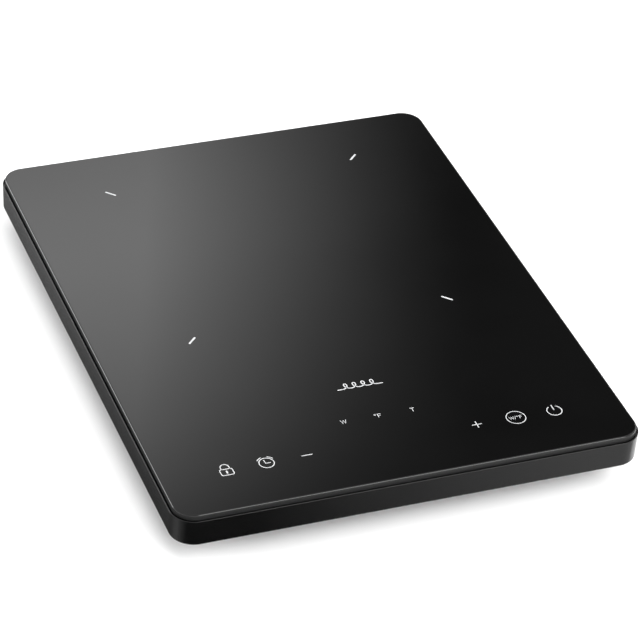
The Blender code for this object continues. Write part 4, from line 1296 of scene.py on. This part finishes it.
def blade(bm, turn):
    """One closed blade, from just inside the hub's wall to the tip."""
    root = HUB_OUTER - 1 * MM
    sheets = []
    for face in (1, -1):
        rows = []
        for row in range(BLADE_ROWS + 1):
            share = row / BLADE_ROWS
            radius = root + (BLADE_TIP - root) * share
            pitch = ROOT_PITCH + (TIP_PITCH - ROOT_PITCH) * share
            line = []
            for column in range(BLADE_COLUMNS + 1):
                across = 2 * column / BLADE_COLUMNS - 1
                edge = sqrt(max(1 - across**2, EDGE_BLUNT))
                chordwise = across * BLADE_CHORD / 2
                lift = CAMBER * (1 - across**2) + face * edge * BLADE_THICK / 2
                swing = (chordwise * cos(pitch) - lift * sin(pitch)) / radius
                swing = swing + turn + SWEEP_BACK * share
                z = BLADE_HEIGHT + chordwise * sin(pitch) + lift * cos(pitch) - CAMBER / 2
                line.append(bm.verts.new((radius * cos(swing), radius * sin(swing), z)))
            rows.append(line)
        sheets.append(rows)
    upper, lower = sheets
    last_row, last_column = BLADE_ROWS, BLADE_COLUMNS
    for rows in sheets:
        for row in range(last_row):
            for column in range(last_column):
                near, far = rows[row], rows[row + 1]
                bm.faces.new((near[column], near[column + 1], far[column + 1], far[column]))
    for row in range(last_row):
        for column in (0, last_column):
            a, b = upper[row][column], upper[row + 1][column]
            bm.faces.new((a, b, lower[row + 1][column], lower[row][column]))
    for row in (0, last_row):
        for column in range(last_column):
            a, b = upper[row][column], upper[row][column + 1]
            bm.faces.new((a, b, lower[row][column + 1], lower[row][column]))


def all_blades(bm):
    for number in range(BLADES):
        blade(bm, 2 * pi * number / BLADES)


hub = bmesh.new()
hub_profile = [
    (0, HUB_TOP),
    (RING_FROM, HUB_TOP),
    (RING_FROM + RING_DEEP, HUB_TOP - RING_DEEP),
    (RING_TO - RING_DEEP, HUB_TOP - RING_DEEP),
    (RING_TO, HUB_TOP),
    *soft_edge((HUB_OUTER - 1.2 * MM, HUB_TOP - 1.2 * MM), 1.2 * MM, 90, 0),
    (HUB_OUTER, HUB_UNDER),
    (HUB_INNER, HUB_UNDER),
    (HUB_INNER, HUB_TOP - 1.5 * MM),
    (0, HUB_TOP - 1.5 * MM),
]
turned(hub, hub_profile, 64)
rotor_mesh = carve(mesh_of(hub, "rotor"), "UNION", all_blades)
rotor_mesh.transform(Matrix.Translation((fan_middle.x, fan_middle.y, 0)))
make_piece("fan_blades", rotor_mesh, fan_plastic, "fan_rotor", body="fan")
print("rotor", round(2 * BLADE_TIP / MM), "mm across,", BLADES, "blades")

# %% [markdown]
# ## Springs under the keys
#
# A touch key is only a plate that a finger couples with through the glass. Here it is a spring,
# which the glass presses down, so its flat top coil is the plate. Three and a half turns of thin
# wire are a helix swept with a round section, and the coil tightens at its ends as real ones do.

# %% Touch springs
SPRING_WIRE = 0.5 * MM
SPRING_TURNS = 3.5
SPRING_STEPS = 70
SPRING_SIDES = 8

spring_steel = plated("spring_steel", (0.38, 0.38, 0.39), (0.62, 0.61, 0.60), 0.25, 0.3 * MM)
for key in KEY_MARKS:
    node = "touch_spring_" + key
    low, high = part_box(node)
    middle = centre_of(node)
    reach = (high.x - low.x) / 2 - SPRING_WIRE
    path = []
    for step in range(SPRING_STEPS + 1):
        share = step / SPRING_STEPS
        angle = 2 * pi * SPRING_TURNS * share
        climb = share * share * (3 - 2 * share)
        z = low.z + SPRING_WIRE + (high.z - low.z - 2 * SPRING_WIRE) * climb
        path.append(Vector((middle.x + reach * cos(angle), middle.y + reach * sin(angle), z)))
    spring = bmesh.new()
    sweep(spring, path, [SPRING_WIRE] * SPRING_SIDES)
    spring_mesh = mesh_of(spring, node, radians(60))
    make_piece("spring_" + key, spring_mesh, spring_steel, node)
print(len(KEY_MARKS), "springs")

# %% [markdown]
# ## The choke
#
# A choke is a ring of pressed iron powder with thick enamelled wire wound round and round it. Its
# look is all in that wire, so the ring and the winding are separate pieces: the ring is turned, and
# the wire's path goes round the ring's section as it travels along the ring, leaving a gap between
# its two ends.

# %% Choke
CHOKE_TURNS = 22
CHOKE_GAP = radians(35)
CHOKE_WIRE = 0.45 * MM
CHOKE_STEPS = 14

low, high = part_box("smoothing_choke")
choke_middle = centre_of("smoothing_choke")
minor = (high.z - low.z) / 2
major = (high.x - low.x) / 2 - minor
core_radius = minor - 2 * CHOKE_WIRE - 0.1 * MM
ring_points = arc((major, 0), core_radius, 0, 330, 11)
core = bmesh.new()
turned(core, ring_points, 48, closed=True)
bmesh.ops.translate(core, vec=choke_middle, verts=core.verts)

powder = Finish("iron_powder")
specks = powder.cells(0.5 * MM, "Color")
iron_powder = powder.shade(
    base_color=powder.mix(0.8, specks, (0.45, 0.36, 0.07)),
    roughness=powder.spread(powder.cloud(1 * MM, 3), 0.3, 0.7, 0.45, 0.65),
    normal=powder.relief(powder.cells(0.4 * MM), 0.03 * MM),
)
make_piece("choke_core", mesh_of(core, "choke_core", radians(60)), iron_powder)

wire_path = []
for step in range(CHOKE_TURNS * CHOKE_STEPS + 1):
    share = step / (CHOKE_TURNS * CHOKE_STEPS)
    along = CHOKE_GAP / 2 + (2 * pi - CHOKE_GAP) * share
    round_by = 2 * pi * CHOKE_TURNS * share
    reach = major + (minor - CHOKE_WIRE) * cos(round_by)
    height = (minor - CHOKE_WIRE) * sin(round_by)
    wire_path.append(choke_middle + Vector((reach * cos(along), reach * sin(along), height)))
winding = bmesh.new()
sweep(winding, wire_path, [CHOKE_WIRE] * 6)
winding_mesh = mesh_of(winding, "choke_winding", radians(70))
make_piece("choke_winding", winding_mesh, copper, "smoothing_choke")
print("choke with", CHOKE_TURNS, "turns")

# %% [markdown]
# ## The display
#
# Under the front of the glass is a four-digit display. Unlit, its segments are milky bars in a dark
# face. They are separate thin prisms, all drawn by one function from a segment's two ends.

# %% Display segments
DIGITS = 4
DIGIT_PITCH = 13 * MM
DIGIT_HALF = (3.1 * MM, 5.6 * MM)
SEGMENT_WIDE = 1.5 * MM
SEGMENT_PROUD = 0.12 * MM

display_middle = centre_of("display_module")
display_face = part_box("display_module")[1].z


def segment(bm, start, end):
    """A six-sided bar with pointed ends, as segments have."""
    start, end = Vector(start), Vector(end)
    along = (end - start).normalized()
    aside = Vector((-along.y, along.x)) * SEGMENT_WIDE / 2
    inset = along * SEGMENT_WIDE / 2
    near, far = start + inset, end - inset
    outline = [start, near - aside, far - aside, end, far + aside, near + aside]
    lower = [bm.verts.new((*point, display_face)) for point in outline]
    upper = [bm.verts.new((*point, display_face + SEGMENT_PROUD)) for point in outline]
    skin(bm, [lower, upper])
    bm.faces.new(reversed(lower))
    bm.faces.new(upper)


milky_finish = Finish("milky_segment")
milk = milky_finish.spread(milky_finish.cloud(1.2 * MM, 3), 0.3, 0.7)
milky = milky_finish.shade(
    base_color=milky_finish.mix(milk, (0.50, 0.50, 0.47), (0.60, 0.60, 0.57)),
    roughness=milky_finish.spread(milk, 0, 1, 0.4, 0.55),
)
digits = bmesh.new()
for digit in range(DIGITS):
    x = display_middle.x + (digit - (DIGITS - 1) / 2) * DIGIT_PITCH
    y = display_middle.y
    wide, tall = DIGIT_HALF
    trim = 0.25 * MM
    for level in (-tall, 0, tall):
        segment(digits, (x - wide + trim, y + level), (x + wide - trim, y + level))
    for side in (-wide, wide):
        segment(digits, (x + side, y + trim), (x + side, y + tall - trim))
        segment(digits, (x + side, y - tall + trim), (x + side, y - trim))
make_piece("display_digits", mesh_of(digits, "display_digits"), milky)
print(DIGITS, "digits of seven segments")

# %% [markdown]
# ## Finishes for the parts that stay as they are
#
# The rest of the working model already has the right shape, so it only needs the right surface. The
# functions above cover plastics, rubbers and metals; these few are particular: the pressed grey of
# ferrite, the flakes of mica, a circuit board's lacquer over its copper tracks, a braided sleeve, a
# ribbon's ribs and the fuse's glass between metal caps.

# %% Ceramic, mica and lacquer


def sintered(name, dark, pale):
    """Pressed and fired powder: dull, with open pits and paler specks."""
    finish = Finish(name)
    pits = finish.spread(finish.cells(0.35 * MM), 0.05, 0.5)
    specks = finish.spread(finish.cloud(0.5 * MM, 4), 0.45, 0.7)
    return finish.shade(
        base_color=finish.mix(specks, dark, pale),
        roughness=finish.spread(specks, 0, 1, 0.72, 0.5),
        normal=finish.relief(pits, 0.03 * MM),
    )


def flaked_mica():
    """Bonded flakes, each tilted a little, so each catches the light by itself."""
    finish = Finish("mica")
    flake = finish.cells(2.2 * MM, "Color")
    tone = finish.node("ShaderNodeSeparateColor", None, {0: flake}, 0)
    edges = finish.spread(finish.cells(2.2 * MM), 0.0, 0.9)
    return finish.shade(
        base_color=finish.mix(tone, (0.42, 0.35, 0.25), (0.66, 0.60, 0.48)),
        roughness=finish.spread(tone, 0, 1, 0.3, 0.55),
        normal=finish.relief(edges + tone * 0.5, 0.02 * MM),
    )


def lacquered_board():
    """Green solder mask over copper tracks, with tinned pads on a grid."""
    finish = Finish("circuit_board")
    x, y = finish.axes()[:2]
    pitch = 2.54 * MM
    drift = finish.cloud(14 * MM, 0) * 22
    tracks = (abs(x.wrapped(pitch) - 0.5) < 0.17) * (finish.cloud(9 * MM, 0, (1, 0.3, 1)) > 0.5)
    across = (abs(y.wrapped(pitch) - 0.5) < 0.17) * (finish.cloud(11 * MM, 0, (0.3, 1, 1)) > 0.56)
    copper_under = finish.spread(tracks + across, 0, 1)
    off_x = x.wrapped(2 * pitch) - 0.5
    off_y = y.wrapped(2 * pitch) - 0.5
    from_hole = (off_x * off_x + off_y * off_y) ** 0.5
    pads = (from_hole < 0.13) * (finish.cells(7 * MM) > 0.42)
    green = finish.mix(copper_under, (0.010, 0.085, 0.028), (0.03, 0.19, 0.06))
    cloudy = finish.mix(finish.spread(drift, 8, 14), green, (0.014, 0.11, 0.035))
    return finish.shade(
        base_color=finish.mix(pads, finish.mix(0.25, green, cloudy), (0.62, 0.60, 0.55)),
        metallic=pads,
        roughness=finish.spread(finish.cloud(3 * MM, 3), 0.3, 0.7, 0.25, 0.42),
        normal=finish.relief(copper_under + pads, 0.035 * MM),
    )


ferrite = sintered("ferrite", (0.028, 0.028, 0.030), (0.075, 0.075, 0.080))
mica = flaked_mica()
circuit_board = lacquered_board()
print("ferrite, mica and lacquer mixed")

# %% Sleeves, ribbon, coatings and the fuse


def braided(name, dark, pale):
    """A woven glass-fibre sleeve: two sets of threads crossing on the slant, with painted shade
    where the threads dip.
    """
    finish = Finish(name)
    x, y, z = finish.axes()
    pitch = 0.9 * MM
    one = ((x + y + z) * (2 * pi / pitch)).sine()
    other = ((x - y + z) * (2 * pi / pitch)).sine()
    weave_and_thread_shade = finish.spread(one * other, -1, 1)
    fuzz = finish.cloud(0.4 * MM, 4)
    # The colour is partly painted shade, darker where the weave dips between threads. The fuzz is
    # the fibre's own tone.
    return finish.shade(
        base_color=finish.mix(weave_and_thread_shade * 0.7 + fuzz * 0.3, dark, pale),
        roughness=finish.spread(fuzz, 0.3, 0.7, 0.6, 0.8),
        normal=finish.relief(weave_and_thread_shade, 0.12 * MM),
    )


def ribbed_ribbon():
    """Parallel wires in one flat strip, the first of them marked red, with painted shade between
    the wires.
    """
    finish = Finish("ribbon")
    x = finish.axes()[0]
    low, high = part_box("ribbon_cable")
    pitch = (high.x - low.x) / 7
    ribs_and_groove_shade = finish.spread(((x - low.x) * (2 * pi / pitch) - pi / 2).sine(), -1, 1)
    first = x < low.x + pitch
    # The grey is painted shade: darker in the grooves between the wires and paler along their
    # crests.
    grey_with_groove_shade = finish.mix(ribs_and_groove_shade, (0.20, 0.20, 0.21), (0.42, 0.42, 0.43))
    return finish.shade(
        base_color=finish.mix(first, grey_with_groove_shade, (0.42, 0.03, 0.03)),
        roughness=finish.spread(finish.cloud(3 * MM, 3), 0.3, 0.7, 0.4, 0.55),
        normal=finish.relief(ribs_and_groove_shade, 0.25 * MM),
    )


def dipped(name, dark, pale):
    """A lacquer coat that was dipped on: glossy, with a faint orange-peel surface."""
    finish = Finish(name)
    peel = finish.cloud(1.4 * MM, 2)
    shade = finish.spread(finish.cloud(5 * MM, 3), 0.3, 0.7)
    return finish.shade(
        base_color=finish.mix(shade, dark, pale),
        roughness=finish.spread(peel, 0.3, 0.7, 0.22, 0.36),
        normal=finish.relief(peel, 0.05 * MM),
    )


def fuse_glass():
    """Nickel caps at both ends, and between them a glass tube with a wire inside."""
    finish = Finish("fuse_glass")
    x, y, z = finish.axes()
    low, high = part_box("mains_fuse")
    middle = centre_of("mains_fuse")
    caps = abs(x - middle.x) > (high.x - low.x) / 2 - 5 * MM
    wire = abs(y - middle.y) < 0.25 * MM
    tube = finish.mix(wire, (0.50, 0.54, 0.53), (0.08, 0.08, 0.08))
    return finish.shade(
        base_color=finish.mix(caps, tube, (0.60, 0.58, 0.54)),
        metallic=caps,
        roughness=finish.spread(finish.cloud(2 * MM, 3), 0.3, 0.7, 0.08, 0.2) + caps * 0.12,
    )


print("coatings mixed")

# %% [markdown]
# ## Giving every part its finish
#
# The working model's record says which named finish each part takes, so the finishes go into one
# table by those names and a loop hands them out. Fine worked metals get their lines drawn out along
# the way they were rolled, drawn or extruded.

# %% Hand out the finishes
MOULDED = {
    "tub_plastic": ((0.010,) * 3, (0.018,) * 3, 0.7 * MM, 0.03 * MM, 0.5),
    "former_plastic": ((0.30, 0.29, 0.27), (0.42, 0.41, 0.38), 0.8 * MM, 0.02 * MM, 0.5),
    "terminal_plastic": ((0.04, 0.14, 0.07), (0.06, 0.19, 0.10), 0.4 * MM, 0.01 * MM, 0.4),
    "display_case": ((0.020,) * 3, (0.035,) * 3, 0.5 * MM, 0.01 * MM, 0.42),
}
RUBBER_LIKE = {
    "silicone_seal": ((0.006,) * 3, (0.011,) * 3, 0.5),
    "silicone_stand": ((0.50, 0.49, 0.45), (0.62, 0.61, 0.57), 0.55),
}
PLATED = {
    "aluminium_sheet": ((0.60, 0.61, 0.62), (0.80, 0.80, 0.81), 0.34, 2 * MM, (0.05, 1, 1)),
    "aluminium_extrusion": ((0.55, 0.56, 0.57), (0.74, 0.75, 0.76), 0.4, 0.6 * MM, (0.04, 1, 1)),
    "sensor_bead": ((0.55, 0.55, 0.55), (0.75, 0.75, 0.74), 0.3, 0.4 * MM),
    "bearing_bronze": ((0.45, 0.29, 0.12), (0.62, 0.43, 0.20), 0.42, 0.25 * MM),
}
DIPPED = {
    "red_film": ((0.34, 0.035, 0.02), (0.46, 0.06, 0.035)),
    "blue_film": ((0.02, 0.07, 0.28), (0.035, 0.11, 0.40)),
    "yellow_film": ((0.55, 0.36, 0.03), (0.70, 0.48, 0.06)),
}
SLOT_FINISHES = {
    "black_glass": black_glass,
    "frame_plastic": frame_plastic,
    "fan_plastic": fan_plastic,
    "rubber": rubber,
    "screw_steel": zinc,
    "spring_steel": spring_steel,
    "copper_wire": copper,
    "ferrite": ferrite,
    "mica": mica,
    "circuit_board": circuit_board,
    "black_epoxy": sintered("black_epoxy", (0.014, 0.014, 0.015), (0.03, 0.03, 0.032)),
    "fuse_glass": fuse_glass(),
    "lead_sleeve": braided("lead_sleeve", (0.28, 0.015, 0.012), (0.52, 0.05, 0.03)),
    "ribbon": ribbed_ribbon(),
}
families = [(moulded, MOULDED), (rubber_like, RUBBER_LIKE), (plated, PLATED), (dipped, DIPPED)]
for family, table in families:
    for name, values in table.items():
        SLOT_FINISHES[name] = family(name, *values)
handed = 0
for part in frame["record"]["subparts"]:
    node = frame["nodes"][part["node"]]
    for place in node.material_slots:
        place.material = SLOT_FINISHES[part["material_slot"]]
        handed += 1
print(handed, "parts have their finish")
